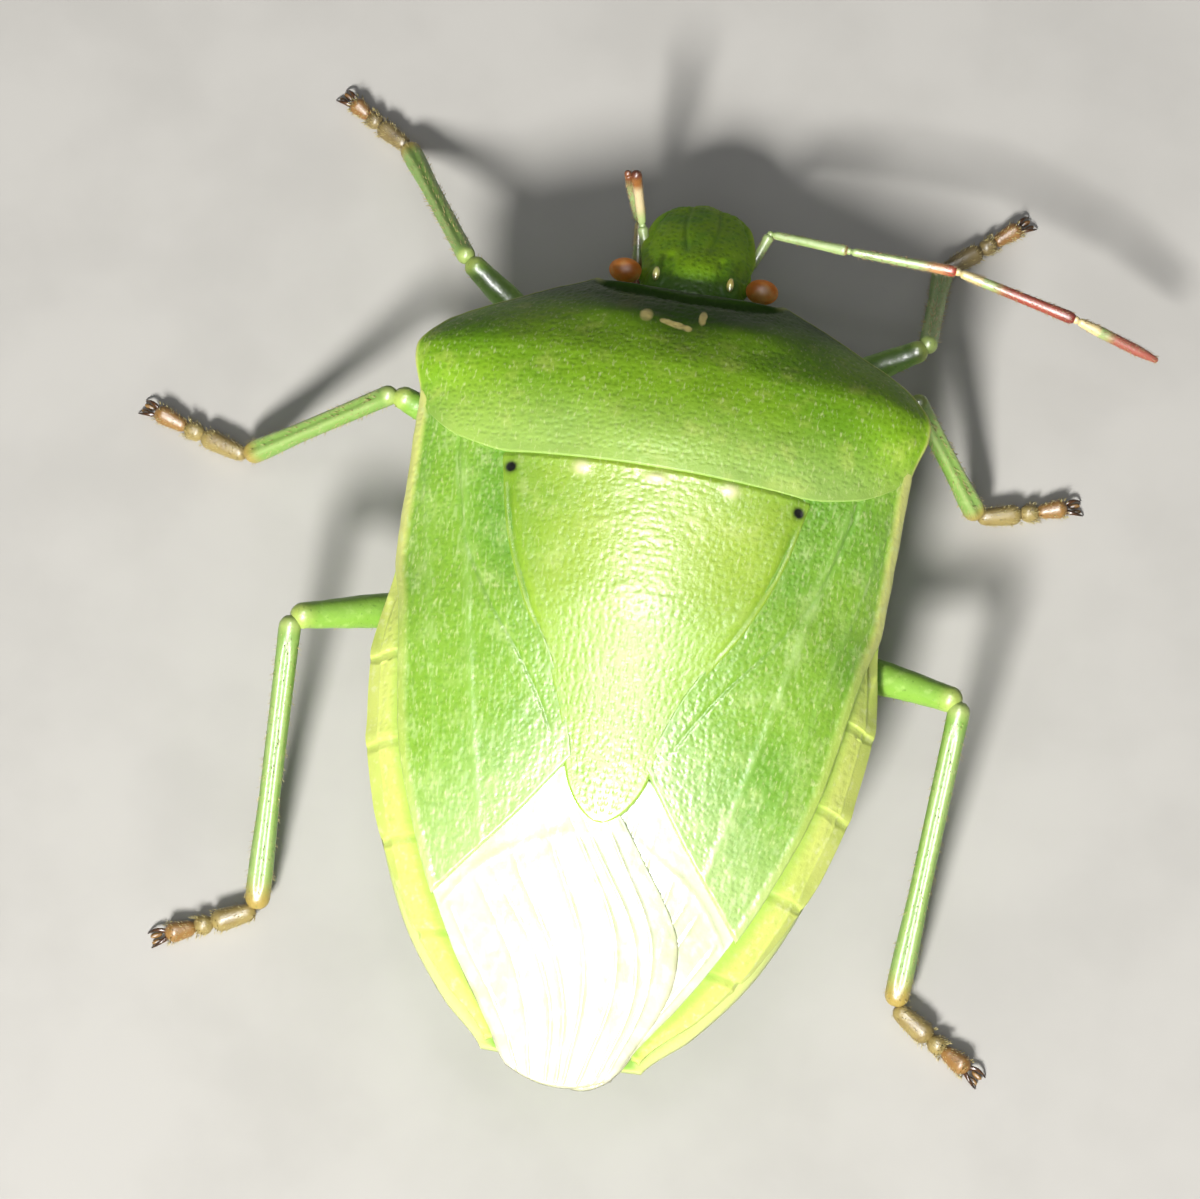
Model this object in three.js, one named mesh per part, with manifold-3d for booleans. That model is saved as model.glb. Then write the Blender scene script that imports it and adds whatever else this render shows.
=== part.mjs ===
// Adult green shield bug at rest, life size, standing on its six feet.
// Millimetres, +Z up. The head faces -Y and the animal's left side is +X.
// Inside this file y is measured from the tip of the head towards the tail, and z from the floor.
import * as THREE from 'three';
import { mergeVertices } from 'three/addons/utils/BufferGeometryUtils.js';
import Module from 'manifold-3d';

const wasm = await Module();
wasm.setup();

// Driving dimensions of the body
const BODY_LENGTH = 14;
const MEMBRANE_TIP_HALF_WIDTH = 0.3;
const PLATE_THICKNESS = 0.5;
const MARGIN_THICKNESS = 0.26;
const SUTURE = 0.05;
const CORE_GAP = 0.08;
const CORE_EDGE = 0.12;
const CORE_INSET = 0.1;

// Outlines as [distance from the head's tip, value] stations
const BODY_HALF_WIDTH = [
  [1.8, 1.28], [2.4, 2.4], [3.2, 3.5], [3.62, 3.76], [4.4, 3.6], [6.7, 3.56], [8, 3.7], [9.2, 3.58],
  [10.3, 3.3], [11.7, 2.72], [12.8, 1.93], [13.4, 1.3], [14, 1],
];
const WING_HALF_WIDTH = [
  [4.4, 3.6], [6.7, 3.54], [7.5, 3.38], [9.4, 3.06], [11, 2.5], [12.3, 1.82], [13.3, 1.12],
  [13.8, 0.75], [14, MEMBRANE_TIP_HALF_WIDTH],
];
const SCUTELLUM_HALF_WIDTH = [
  [5.38, 2.22], [6.4, 2], [7.4, 1.62], [8.5, 1.02], [9.3, 0.72], [9.9, 0.56], [10.25, 0.34], [10.42, 0.12],
];
const CROWN_HEIGHT = [
  [1.8, 2.95], [2.6, 3.6], [3.6, 4.2], [5, 4.52], [7, 4.48], [9, 4.2], [10.4, 3.85], [14, 2.42],
];
const MARGIN_HEIGHT = [
  [1.8, 2.5], [2.8, 2.95], [3.6, 3.28], [5.4, 3.05], [7, 2.78], [9.5, 2.58], [13.4, 2.24], [14, 2.2],
];
const KEEL_HEIGHT = [
  [2.1, 1.45], [3, 1.1], [4.5, 0.98], [6.5, 0.92], [9, 0.86], [11, 1.1], [12.5, 1.6], [13.6, 2.02],
];
const BELLY_FULLNESS = [[2.1, 1], [7.2, 1], [9.4, 2.2], [13.6, 2.2]];
const DOME_POWER = 0.62;
const KEEL_ROUNDING = 0.18;
const TAIL_DOME_HALF_WIDTH = 1.3;

// Edges of the plates that run across the body, as [x, y] stations on one side
const PRONOTUM_FRONT = [[0, 2.05], [0.95, 1.98], [1.33, 1.84]];
const PRONOTUM_REAR = [[0, 5.3], [2.1, 5.3], [2.9, 5.08], [3.4, 4.72], [3.62, 4.4]];
const CORIUM_REAR = [[0.6, 9.62], [1.3, 10.55], [2.26, 11.62]];
const MEMBRANE_FRONT = [[0, 10.5], [0.4, 10.36], [0.66, 9.9], [1.3, 10.68], [2.24, 11.72]];
const CONNEXIVUM_START = 7;
const CONNEXIVUM_END = 13.42;
const THORAX_START = 2.12;
const THORAX_END = 6.6;
const ABDOMEN_END = 13.46;

// Head, eyes and beak
const HEAD_LENGTH = 1.92;
const HEAD_HALF_WIDTH = [
  [0, 0.18], [0.1, 0.45], [0.34, 0.66], [0.66, 0.78], [1.1, 0.83], [1.35, 0.79], [1.92, 0.78],
];
const HEAD_TOP = [[0, 1.66], [0.4, 2.02], [1, 2.5], [1.55, 2.84], [1.92, 2.92]];
const HEAD_BOTTOM = [[0, 1.46], [0.3, 1.3], [1, 1.18], [1.92, 1.42]];
const HEAD_WIDEST_AT = 0.62;
const CHEEK_TAPER = 1.35;
const CHEEK_FULLNESS = 0.8;
const HEAD_END_BLUNTNESS = 2.2;
const EYE_CENTRE = [1.02, 1.54, 2.4];
const EYE_RADII = [0.26, 0.2, 0.25];
const EYE_INNER_FACE = 0.8;
const BEAK = { from: [0, 0.5, 0.95], to: [0, 5.9, 0.62], radii: [[0, 0.14], [0.6, 0.12], [1, 0.08]] };

// Runs of joints of each antenna, from the head outwards. The left one folds down at its elbow,
// where the two stretches lie side by side, and its end lies under the head.
const ANTENNA_RADIUS = 0.22;
const ANTENNAE = {
  right: [
    [
      [-0.85, 0.95, 1.5], [-1.08, 0.44, 1.86], [-2.2, 0.56, 2.15],
      [-3.83, 0.64, 2.2], [-5.67, 1.02, 2], [-6.98, 1.3, 1.6],
    ],
  ],
  left: [
    [[0.87, 0.98, 1.5], [1.02, 0.66, 1.96], [1.16, 0.38, 2.75]],
    [[1.22, -0.12, 3.08], [1.1, 0, 1.36], [0.8, 1.8, 0.6], [0.74, 3.35, 0.34]],
  ],
};

// Joints of each leg: hip under the body, knee, ankle, and the toe's place on the floor
const LEGS = {
  fore_left: {
    hip: [1.1, 3.05, 0.9], knee: [3.36, 1.62, 2], ankle: [4.67, -0.72, 0.45], toe: [5.86, -1.5],
  },
  fore_right: {
    hip: [-1.1, 3.05, 0.9], knee: [-3.56, 1.94, 2.25], ankle: [-3.64, -0.12, 0.45], toe: [-4.9, -1.24],
  },
  middle_left: {
    hip: [1.2, 4.7, 0.86], knee: [4.05, 4, 2.3], ankle: [6.19, 4.62, 0.45], toe: [7.92, 4.02],
  },
  middle_right: {
    hip: [-1.2, 4.7, 0.86], knee: [-3.5, 2.85, 2.5], ankle: [-4.72, 3.72, 0.45], toe: [-6.28, 3.21],
  },
  hind_left: {
    hip: [1.4, 6.35, 0.82], knee: [4.9, 7.8, 2.7], ankle: [4.79, 11.53, 0.45], toe: [6.28, 12.2],
  },
  hind_right: {
    hip: [-1.4, 6.35, 0.82], knee: [-4.83, 7.45, 2.7], ankle: [-4.62, 11.41, 0.45], toe: [-6.05, 12.28],
  },
};
const COXA_SIZE = { inward: 0.36, rise: 0.16 };
const COXA_RADII = [[0, 0.24], [1, 0.24]];
const FEMUR_RADII = [[0, 0.22], [0.5, 0.27], [1, 0.23]];
const TIBIA_RADII = [[0, 0.22], [0.5, 0.23], [1, 0.25]];
const TARSUS_RADII = [
  [0, 0.22], [0.3, 0.25], [0.42, 0.2], [0.55, 0.23], [0.66, 0.2], [0.85, 0.25], [1, 0.22],
];
const TARSUS_AXIS_HEIGHT = 0.2;
const ANKLE_GAP = 0.2;
const JOINT_CLEARANCE = 0.04;
const CLAW = { length: 0.34, radius: 0.08, spread: 0.45, droop: 0.3, overlap: 0.16 };

// Facets
const LIMB_SIDES = 8;
const LIMB_RINGS = 8;
const CLAW_SIDES = 6;
const TRUNK_COLUMNS = 14;
const GRIDS = {
  head: [18, 12], eye: [12, 8], pronotum: [18, 7], scutellum: [8, 10], corium: [7, 9],
  membrane: [6, 8], connexivum: [2, 14],
};
const TRUNK_ROWS = { thorax: 7, abdomen: 10 };

// Materials of the living animal
const paint = (color, roughness) => new THREE.MeshStandardMaterial({ color, roughness, metalness: 0 });
const HEAD_GREEN = paint(0x4f8a18, 0.45);
const PRONOTUM_GREEN = paint(0x6aa51e, 0.4);
const SCUTELLUM_GREEN = paint(0x86b92a, 0.4);
const WING_GREEN = paint(0x5fae2c, 0.4);
const MEMBRANE_CLEAR = paint(0xdfe8d0, 0.2);
const MARGIN_YELLOW = paint(0xc3df55, 0.4);
const BELLY_GREEN = paint(0x8fc457, 0.45);
const LEG_GREEN = paint(0x74ae36, 0.45);
const FOOT_BROWN = paint(0xa98a3c, 0.5);
const EYE_RED = paint(0x7a3020, 0.25);
const ANTENNA_GREEN = paint(0x93b659, 0.45);
const ANTENNA_RED = paint(0x9a4a38, 0.5);

// Value at t of a smooth curve through [t, value] stations, without overshoot
function along(stations, t) {
  const last = stations.length - 1;
  if (t <= stations[0][0]) return stations[0][1];
  if (t >= stations[last][0]) return stations[last][1];
  const i = stations.findIndex((station) => station[0] > t) - 1;
  const slope = (k) => (stations[k + 1][1] - stations[k][1]) / (stations[k + 1][0] - stations[k][0]);
  const tangent = (k) => {
    if (k === 0) return slope(0);
    if (k === last) return slope(last - 1);
    const before = slope(k - 1);
    const after = slope(k);
    return before * after <= 0 ? 0 : (2 * before * after) / (before + after);
  };
  const [start, end] = [stations[i], stations[i + 1]];
  const width = end[0] - start[0];
  const s = (t - start[0]) / width;
  const rise = s * s * (3 - 2 * s);
  const bend = s * (1 - s) * width * (tangent(i) * (1 - s) - tangent(i + 1) * s);
  return start[1] + (end[1] - start[1]) * rise + bend;
}

const mix = THREE.MathUtils.lerp;

// How far x lies out towards the side of the body, from 0 to 1
function sideways(x, y) {
  const halfWidth = Math.max(along(BODY_HALF_WIDTH, y), TAIL_DOME_HALF_WIDTH);
  return Math.min(1, Math.abs(x) / halfWidth);
}

// Height of the back, one smooth dome that all the upper plates share
function backHeight(x, y) {
  const s = sideways(x, y);
  return mix(along(MARGIN_HEIGHT, y), along(CROWN_HEIGHT, y), (1 - s * s) ** DOME_POWER);
}

function plateThickness(x, y) {
  return mix(PLATE_THICKNESS, MARGIN_THICKNESS, sideways(x, y) ** 4);
}

// Height of the underside: a V under the legs that fills out into a round belly
function bellyHeight(x, y) {
  const s = sideways(x, y);
  const power = along(BELLY_FULLNESS, y);
  const rounded = (t) => Math.hypot(t, KEEL_ROUNDING) - KEEL_ROUNDING;
  const edge = backHeight(x, y) - plateThickness(x, y) - CORE_GAP - CORE_EDGE;
  const rim = along(MARGIN_HEIGHT, y) - MARGIN_THICKNESS - CORE_GAP - CORE_EDGE;
  return Math.min(edge, mix(along(KEEL_HEIGHT, y), rim, rounded(s ** power) / rounded(1)));
}

function piece(name, geometry, material) {
  const mesh = new THREE.Mesh(geometry, material);
  mesh.name = name;
  return mesh;
}

// A mesh of a box grid moved point by point: place(u, v, w) with all three from 0 to 1
function shapedBox(across, lengthwise, place) {
  const geometry = new THREE.BoxGeometry(1, 1, 1, across, lengthwise, 1);
  const position = geometry.attributes.position;
  for (let i = 0; i < position.count; i++) {
    const point = place(position.getX(i) + 0.5, position.getY(i) + 0.5, position.getZ(i) + 0.5);
    position.setXYZ(i, ...point);
  }
  return geometry;
}

// A plate of the back that covers the plan point given by plan(u, v)
function backPlate([across, lengthwise], plan) {
  return shapedBox(across, lengthwise, (u, v, w) => {
    const [x, y] = plan(u, v);
    return [x, y, backHeight(x, y) - (1 - w) * plateThickness(x, y)];
  });
}

// The trunk under the plates, between two stations of its length
function trunk(start, end, lengthwise) {
  return shapedBox(TRUNK_COLUMNS, lengthwise, (u, v, w) => {
    const y = mix(start, end, v);
    const x = (2 * u - 1) * (along(BODY_HALF_WIDTH, y) - CORE_INSET);
    return [x, y, w > 0.5 ? backHeight(x, y) - plateThickness(x, y) - CORE_GAP : bellyHeight(x, y)];
  });
}

function headGeometry() {
  const geometry = new THREE.SphereGeometry(1, ...GRIDS.head);
  const position = geometry.attributes.position;
  for (let i = 0; i < position.count; i++) {
    const forward = position.getY(i);
    const ring = Math.hypot(position.getX(i), position.getZ(i));
    const y = HEAD_LENGTH * (1 - forward) / 2;
    const side = ring > 0 ? position.getX(i) / ring : 0;
    const up = ring > 0 ? position.getZ(i) / ring : 0;
    const closed = Math.min(1, ring * HEAD_END_BLUNTNESS);
    const top = along(HEAD_TOP, y);
    const bottom = along(HEAD_BOTTOM, y);
    const middle = mix(bottom, top, HEAD_WIDEST_AT);
    const flare = up < 0 ? (1 - (-up) ** CHEEK_TAPER) ** CHEEK_FULLNESS : Math.abs(side);
    const x = -Math.sign(side) * along(HEAD_HALF_WIDTH, y) * flare * closed;
    const z = middle + (up > 0 ? (top - middle) * up : (middle - bottom) * up) * closed;
    position.setXYZ(i, x, y, z);
  }
  return geometry;
}

function eyeGeometry(side) {
  const geometry = new THREE.SphereGeometry(1, ...GRIDS.eye).scale(...EYE_RADII);
  geometry.translate(side * EYE_CENTRE[0], EYE_CENTRE[1], EYE_CENTRE[2]);
  const position = geometry.attributes.position;
  for (let i = 0; i < position.count; i++) {
    position.setX(i, side * Math.max(EYE_INNER_FACE, side * position.getX(i)));
  }
  return geometry;
}

// A round limb along +Y, rounded off at both ends
function limbGeometry(length, radii) {
  const profile = [];
  for (let i = 0; i <= LIMB_RINGS; i++) {
    const y = length * (1 - Math.cos(Math.PI * i / LIMB_RINGS)) / 2;
    const radius = along(radii, y / length);
    const fromEnd = Math.min(y, length - y);
    const cap = fromEnd < radius ? Math.sqrt(1 - (1 - fromEnd / radius) ** 2) : 1;
    profile.push(new THREE.Vector2(i % LIMB_RINGS ? radius * cap : 0, y));
  }
  return new THREE.LatheGeometry(profile, LIMB_SIDES);
}

// How far past a joint the next segment starts, so that two round ends of these radii stay clear
// of each other at the joint's bend
function jointGap(before, after, radiusBefore, radiusAfter) {
  const bend = before.dot(after);
  const apart = radiusBefore + radiusAfter + JOINT_CLEARANCE;
  return Math.sqrt(apart ** 2 - radiusBefore ** 2 * (1 - bend ** 2)) - radiusBefore * bend - radiusAfter;
}

// A run of limb segments through a list of joints; each segment has a name, radii and a material
function addLimb(group, joints, segments) {
  const points = joints.map((joint) => new THREE.Vector3(...joint));
  let before = null;
  segments.forEach(({ name, radii, material }, i) => {
    const direction = points[i + 1].clone().sub(points[i]);
    const wholeLength = direction.length();
    direction.normalize();
    const gap = before ? jointGap(before.direction, direction, before.endRadius, radii[0][1]) : 0;
    const mesh = piece(name, limbGeometry(wholeLength - gap, radii), material);
    mesh.position.copy(points[i]).addScaledVector(direction, gap);
    mesh.quaternion.setFromUnitVectors(new THREE.Vector3(0, 1, 0), direction);
    group.add(mesh);
    before = { direction, endRadius: radii.at(-1)[1] };
  });
}

// One solid out of two closed geometries that overlap
function joined(first, second) {
  const [a, b] = [first, second].map((geometry) => {
    const bare = geometry.clone();
    bare.deleteAttribute('normal');
    bare.deleteAttribute('uv');
    const merged = mergeVertices(bare, 1e-4);
    const vertProperties = merged.attributes.position.array;
    const triVerts = new Uint32Array(merged.index.array);
    const mesh = new wasm.Mesh({ numProp: 3, vertProperties, triVerts });
    mesh.merge();
    return new wasm.Manifold(mesh);
  });
  const mesh = a.add(b).getMesh();
  const geometry = new THREE.BufferGeometry();
  geometry.setAttribute('position', new THREE.BufferAttribute(mesh.vertProperties, 3));
  geometry.setIndex(new THREE.BufferAttribute(mesh.triVerts, 1));
  return geometry;
}

// The foot's three joints with their two claws, flat where it stands on the floor
function tarsusGeometry(length) {
  let foot = limbGeometry(length - CLAW.length + CLAW.overlap, TARSUS_RADII);
  foot.translate(0, 0, TARSUS_AXIS_HEIGHT);
  for (const side of [-1, 1]) {
    const claw = new THREE.ConeGeometry(CLAW.radius, CLAW.length, CLAW_SIDES);
    claw.translate(0, CLAW.length / 2, 0);
    claw.rotateX(-CLAW.droop);
    claw.rotateZ(-side * CLAW.spread);
    claw.translate(side * CLAW.radius, length - CLAW.length, TARSUS_AXIS_HEIGHT + CLAW.radius);
    foot = joined(foot, claw);
  }
  const position = foot.attributes.position;
  for (let i = 0; i < position.count; i++) {
    position.setZ(i, Math.max(0, position.getZ(i)));
  }
  return foot;
}

function addHead(insect) {
  const head = new THREE.Group();
  head.add(piece('head', headGeometry(), HEAD_GREEN));
  head.add(piece('eye_left', eyeGeometry(1), EYE_RED));
  head.add(piece('eye_right', eyeGeometry(-1), EYE_RED));
  addLimb(head, [BEAK.from, BEAK.to], [{ name: 'beak', radii: BEAK.radii, material: HEAD_GREEN }]);
  insect.add(head);
}

function addAntennae(insect) {
  const radii = [[0, ANTENNA_RADIUS], [1, ANTENNA_RADIUS]];
  for (const [side, runs] of Object.entries(ANTENNAE)) {
    const antenna = new THREE.Group();
    for (const joints of runs) {
      const first = antenna.children.length + 1;
      addLimb(antenna, joints, joints.slice(1).map((joint, i) => ({
        name: `antenna_${side}_${first + i}`,
        radii,
        material: first + i < 3 ? ANTENNA_GREEN : ANTENNA_RED,
      })));
    }
    insect.add(antenna);
  }
}

function addTrunk(insect) {
  insect.add(piece('thorax', trunk(THORAX_START, THORAX_END, TRUNK_ROWS.thorax), BELLY_GREEN));
  insect.add(piece('abdomen', trunk(THORAX_END + SUTURE, ABDOMEN_END, TRUNK_ROWS.abdomen), BELLY_GREEN));
}

function addPronotum(insect) {
  const geometry = backPlate(GRIDS.pronotum, (u, v) => {
    const across = 2 * u - 1;
    const side = Math.abs(across);
    const front = along(PRONOTUM_FRONT, side * PRONOTUM_FRONT.at(-1)[0]);
    const rear = along(PRONOTUM_REAR, side * PRONOTUM_REAR.at(-1)[0]);
    const y = mix(front, rear, v);
    return [across * along(BODY_HALF_WIDTH, y), y];
  });
  insect.add(piece('pronotum', geometry, PRONOTUM_GREEN));
}

function addScutellum(insect) {
  const [start, end] = [SCUTELLUM_HALF_WIDTH[0][0], SCUTELLUM_HALF_WIDTH.at(-1)[0]];
  const geometry = backPlate(GRIDS.scutellum, (u, v) => {
    const y = mix(start, end, v);
    return [(2 * u - 1) * along(SCUTELLUM_HALF_WIDTH, y), y];
  });
  insect.add(piece('scutellum', geometry, SCUTELLUM_GREEN));
}

// A wing's plate between its inner and outer edges, both functions of y, and its front and
// rear edges, both functions of the share u of the way out
function wingPlate(side, grid, { inner, outer, front, rear }) {
  return backPlate(grid, (column, v) => {
    const u = side > 0 ? column : 1 - column;
    const x = mix(inner(mix(front(0), rear(0), v)), outer(mix(front(1), rear(1), v)), u);
    return [side * x, mix(front(u), rear(u), v)];
  });
}

function addWings(insect, side, label) {
  const wingEdge = (y) => along(WING_HALF_WIDTH, y);
  const scutellumCorner = SCUTELLUM_HALF_WIDTH[0][1];
  const humerus = PRONOTUM_REAR.at(-1)[0];
  const corium = wingPlate(side, GRIDS.corium, {
    inner: (y) => along(SCUTELLUM_HALF_WIDTH, y) + SUTURE,
    outer: wingEdge,
    front: (u) => along(PRONOTUM_REAR, mix(scutellumCorner, humerus, u)) + 2 * SUTURE,
    rear: (u) => along(CORIUM_REAR, mix(CORIUM_REAR[0][0], CORIUM_REAR.at(-1)[0], u)),
  });
  const membrane = wingPlate(side, GRIDS.membrane, {
    inner: () => SUTURE / 2,
    outer: wingEdge,
    front: (u) => along(MEMBRANE_FRONT, u * MEMBRANE_FRONT.at(-1)[0]),
    rear: () => BODY_LENGTH,
  });
  insect.add(piece(`corium_${label}`, corium, WING_GREEN));
  insect.add(piece(`membrane_${label}`, membrane, MEMBRANE_CLEAR));
}

function addConnexivum(insect, side, label) {
  const geometry = wingPlate(side, GRIDS.connexivum, {
    inner: (y) => along(WING_HALF_WIDTH, y) + SUTURE,
    outer: (y) => along(BODY_HALF_WIDTH, y),
    front: () => CONNEXIVUM_START,
    rear: () => CONNEXIVUM_END,
  });
  insect.add(piece(`connexivum_${label}`, geometry, MARGIN_YELLOW));
}

function addLeg(insect, label, { hip, knee, ankle, toe }) {
  const leg = new THREE.Group();
  const side = Math.sign(hip[0]);
  const socket = [hip[0] - side * COXA_SIZE.inward, hip[1], hip[2] + COXA_SIZE.rise];
  addLimb(leg, [socket, hip, knee, ankle], [
    { name: `leg_${label}_coxa`, radii: COXA_RADII, material: LEG_GREEN },
    { name: `leg_${label}_femur`, radii: FEMUR_RADII, material: LEG_GREEN },
    { name: `leg_${label}_tibia`, radii: TIBIA_RADII, material: LEG_GREEN },
  ]);
  const heading = new THREE.Vector2(toe[0] - ankle[0], toe[1] - ankle[1]);
  const tarsus = piece(`leg_${label}_tarsus`, tarsusGeometry(heading.length() - ANKLE_GAP), FOOT_BROWN);
  const start = heading.clone().setLength(ANKLE_GAP);
  tarsus.position.set(ankle[0] + start.x, ankle[1] + start.y, 0);
  tarsus.rotation.z = heading.angle() - Math.PI / 2;
  leg.add(tarsus);
  insect.add(leg);
}

const insect = new THREE.Group();
addHead(insect);
addAntennae(insect);
addTrunk(insect);
addPronotum(insect);
addScutellum(insect);
for (const [side, label] of [[1, 'left'], [-1, 'right']]) {
  addWings(insect, side, label);
  addConnexivum(insect, side, label);
}
for (const [label, joints] of Object.entries(LEGS)) {
  addLeg(insect, label, joints);
}

// The origin is the middle of the outline, on the floor
const box = new THREE.Box3().setFromObject(insect);
const centre = box.getCenter(new THREE.Vector3());
insect.position.set(-centre.x, -centre.y, -box.min.z);

const shieldBug = new THREE.Group();
shieldBug.add(insect);

export default shieldBug;
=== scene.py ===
import math

import bmesh
import bpy
import numpy as np
from mathutils import Matrix, Vector
from mathutils.kdtree import KDTree


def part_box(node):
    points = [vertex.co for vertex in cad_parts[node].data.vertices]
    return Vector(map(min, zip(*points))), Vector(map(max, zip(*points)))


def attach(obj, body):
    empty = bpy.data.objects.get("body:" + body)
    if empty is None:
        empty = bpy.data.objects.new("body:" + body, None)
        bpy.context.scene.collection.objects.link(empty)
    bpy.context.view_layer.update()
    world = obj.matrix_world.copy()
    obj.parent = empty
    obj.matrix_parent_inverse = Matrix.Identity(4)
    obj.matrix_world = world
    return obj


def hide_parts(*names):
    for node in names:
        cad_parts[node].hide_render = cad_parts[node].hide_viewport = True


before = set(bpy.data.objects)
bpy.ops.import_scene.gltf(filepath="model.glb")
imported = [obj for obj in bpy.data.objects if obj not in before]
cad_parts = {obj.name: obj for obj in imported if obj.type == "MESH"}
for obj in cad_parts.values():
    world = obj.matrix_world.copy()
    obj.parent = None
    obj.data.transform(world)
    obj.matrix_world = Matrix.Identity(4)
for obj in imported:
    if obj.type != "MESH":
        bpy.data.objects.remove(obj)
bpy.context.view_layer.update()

MM = 0.001
SCUTELLUM_START = 5.38
scutellum_low, scutellum_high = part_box("scutellum")
SHIFT = np.array([
    (scutellum_low.x + scutellum_high.x) / 2 / MM,
    scutellum_low.y / MM - SCUTELLUM_START,
    0,
])

# Outlines of the solids, as (distance from the head's tip, value)
BODY_HALF_WIDTH = [
    (1.8, 1.28), (2.4, 2.4), (3.2, 3.5), (3.62, 3.76), (4.4, 3.6), (6.7, 3.56), (8, 3.7),
    (9.2, 3.58), (10.3, 3.3), (11.7, 2.72), (12.8, 1.93), (13.4, 1.3), (14, 1),
]
WING_HALF_WIDTH = [
    (4.4, 3.6), (6.7, 3.54), (7.5, 3.38), (9.4, 3.06), (11, 2.5), (12.3, 1.82), (13.3, 1.12),
    (13.8, 0.75), (14, 0.3),
]
SCUTELLUM_HALF_WIDTH = [
    (5.38, 2.22), (6.4, 2), (7.4, 1.62), (8.5, 1.02), (9.3, 0.72), (9.9, 0.56), (10.2, 0.39),
    (10.36, 0.23), (10.44, 0.1), (10.46, 0.05),
]
CROWN_HEIGHT = [
    (1.8, 2.95), (2.6, 3.6), (3.6, 4.2), (5, 4.52), (7, 4.48), (9, 4.2), (10.4, 3.85), (14, 2.42),
]
MARGIN_HEIGHT = [
    (1.8, 2.5), (2.8, 2.95), (3.6, 3.28), (5.4, 3.05), (7, 2.78), (9.5, 2.58), (13.4, 2.24),
    (14, 2.2),
]
KEEL_HEIGHT = [
    (2.1, 1.45), (3, 1.1), (4.5, 0.98), (6.5, 0.92), (9, 0.86), (11, 1.1), (12.5, 1.6),
    (13.6, 2.02),
]
BELLY_FULLNESS = [(2.1, 1), (7.2, 1), (9.4, 2.2), (13.6, 2.2)]
DOME_POWER = 0.62
KEEL_ROUNDING = 0.18
TAIL_DOME_HALF_WIDTH = 1.3
PRONOTUM_FRONT = [(0, 2.05), (0.95, 1.98), (1.33, 1.84)]
PRONOTUM_REAR = [(0, 5.3), (2.1, 5.3), (2.9, 5.08), (3.4, 4.72), (3.62, 4.4)]
CORIUM_REAR = [(0.6, 9.62), (1.3, 10.55), (2.26, 11.62)]
BODY_LENGTH = 14
TRUNK_START = 2.12
TRUNK_END = 13.46
TRUNK_INSET = 0.1
CONNEXIVUM_START = 6.72
CONNEXIVUM_END = 13.42
SEGMENT_ENDS = [8.22, 9.52, 10.88, 12.14]

# Head and eyes
NECK_END = 2.34
HEAD_HALF_WIDTH = [
    (0, 0.18), (0.1, 0.45), (0.34, 0.66), (0.66, 0.78), (1.1, 0.83), (1.35, 0.79), (1.92, 0.78),
]
HEAD_TOP = [(0, 1.66), (0.4, 2.02), (1, 2.5), (1.55, 2.84), (1.92, 2.92)]
HEAD_BOTTOM = [(0, 1.46), (0.3, 1.3), (1, 1.18), (1.92, 1.42)]
HEAD_WIDEST_AT = 0.62
CHEEK_TAPER = 1.35
EYE_CENTRE = (1.02, 1.54, 2.38)
EYE_RADII = (0.24, 0.175, 0.23)
EYE_INNER_FACE = 0.78
OCELLUS = (0.55, 1.7, 2.85)

# Antenna joints, thinner than in the solids and along the same lines
ANTENNAE = {
    "right": [
        [(-0.78, 1.02, 1.84), (-1.0, 0.46, 2.02), (-2.19, 0.6, 2.2), (-3.83, 0.65, 2.2),
         (-5.67, 1.02, 2), (-6.98, 1.3, 1.6)],
    ],
    "left": [
        [(0.76, 1.06, 1.84), (0.9, 0.66, 2.06), (1.1, 0.2, 2.98)],
        [(1.21, 0.25, 2.95), (0.98, 0.3, 1.4), (0.78, 1.9, 0.56), (0.72, 3.35, 0.28)],
    ],
}
ANTENNA_RADIUS = 0.076

# Leg joints as in the solids; the toe is where the claws stand
LEGS = {
    "fore_left": [(1.1, 3.05, 0.9), (3.36, 1.62, 2), (4.67, -0.72, 0.45), (5.86, -1.5, 0)],
    "fore_right": [(-1.1, 3.05, 0.9), (-3.56, 1.94, 2.25), (-3.64, -0.12, 0.45), (-4.9, -1.24, 0)],
    "middle_left": [(1.2, 4.7, 0.86), (4.05, 4, 2.3), (6.19, 4.62, 0.45), (7.92, 4.02, 0)],
    "middle_right": [(-1.2, 4.7, 0.86), (-3.5, 2.85, 2.5), (-4.72, 3.72, 0.45), (-6.28, 3.21, 0)],
    "hind_left": [(1.4, 6.35, 0.82), (4.9, 7.8, 2.7), (4.79, 11.53, 0.45), (6.28, 12.2, 0)],
    "hind_right": [(-1.4, 6.35, 0.82), (-4.83, 7.45, 2.7), (-4.62, 11.41, 0.45), (-6.05, 12.28, 0)],
}
LEG_GIRTH = {"fore": 0.86, "middle": 0.92, "hind": 1}

# Camera, as the photograph was taken
CAMERA_AZIMUTH = 185
CAMERA_ELEVATION = 71
CAMERA_ROLL = 4.572
CAMERA_TARGET = (0.555, 6.717, 2.5)
CAMERA_DISTANCE = 96.6
CAMERA_LENS = 200


def mix(a, b, t):
    return a + (b - a) * t


def hill(distance, width):
    """1 in the middle and falling smoothly to nothing over about twice the width."""
    return np.exp(-((distance / width) ** 2))


def step(start, end, t):
    """Smooth change from 0 at start to 1 at end, which may be the smaller one."""
    s = np.clip((t - start) / (end - start), 0, 1)
    return s * s * (3 - 2 * s)


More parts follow.
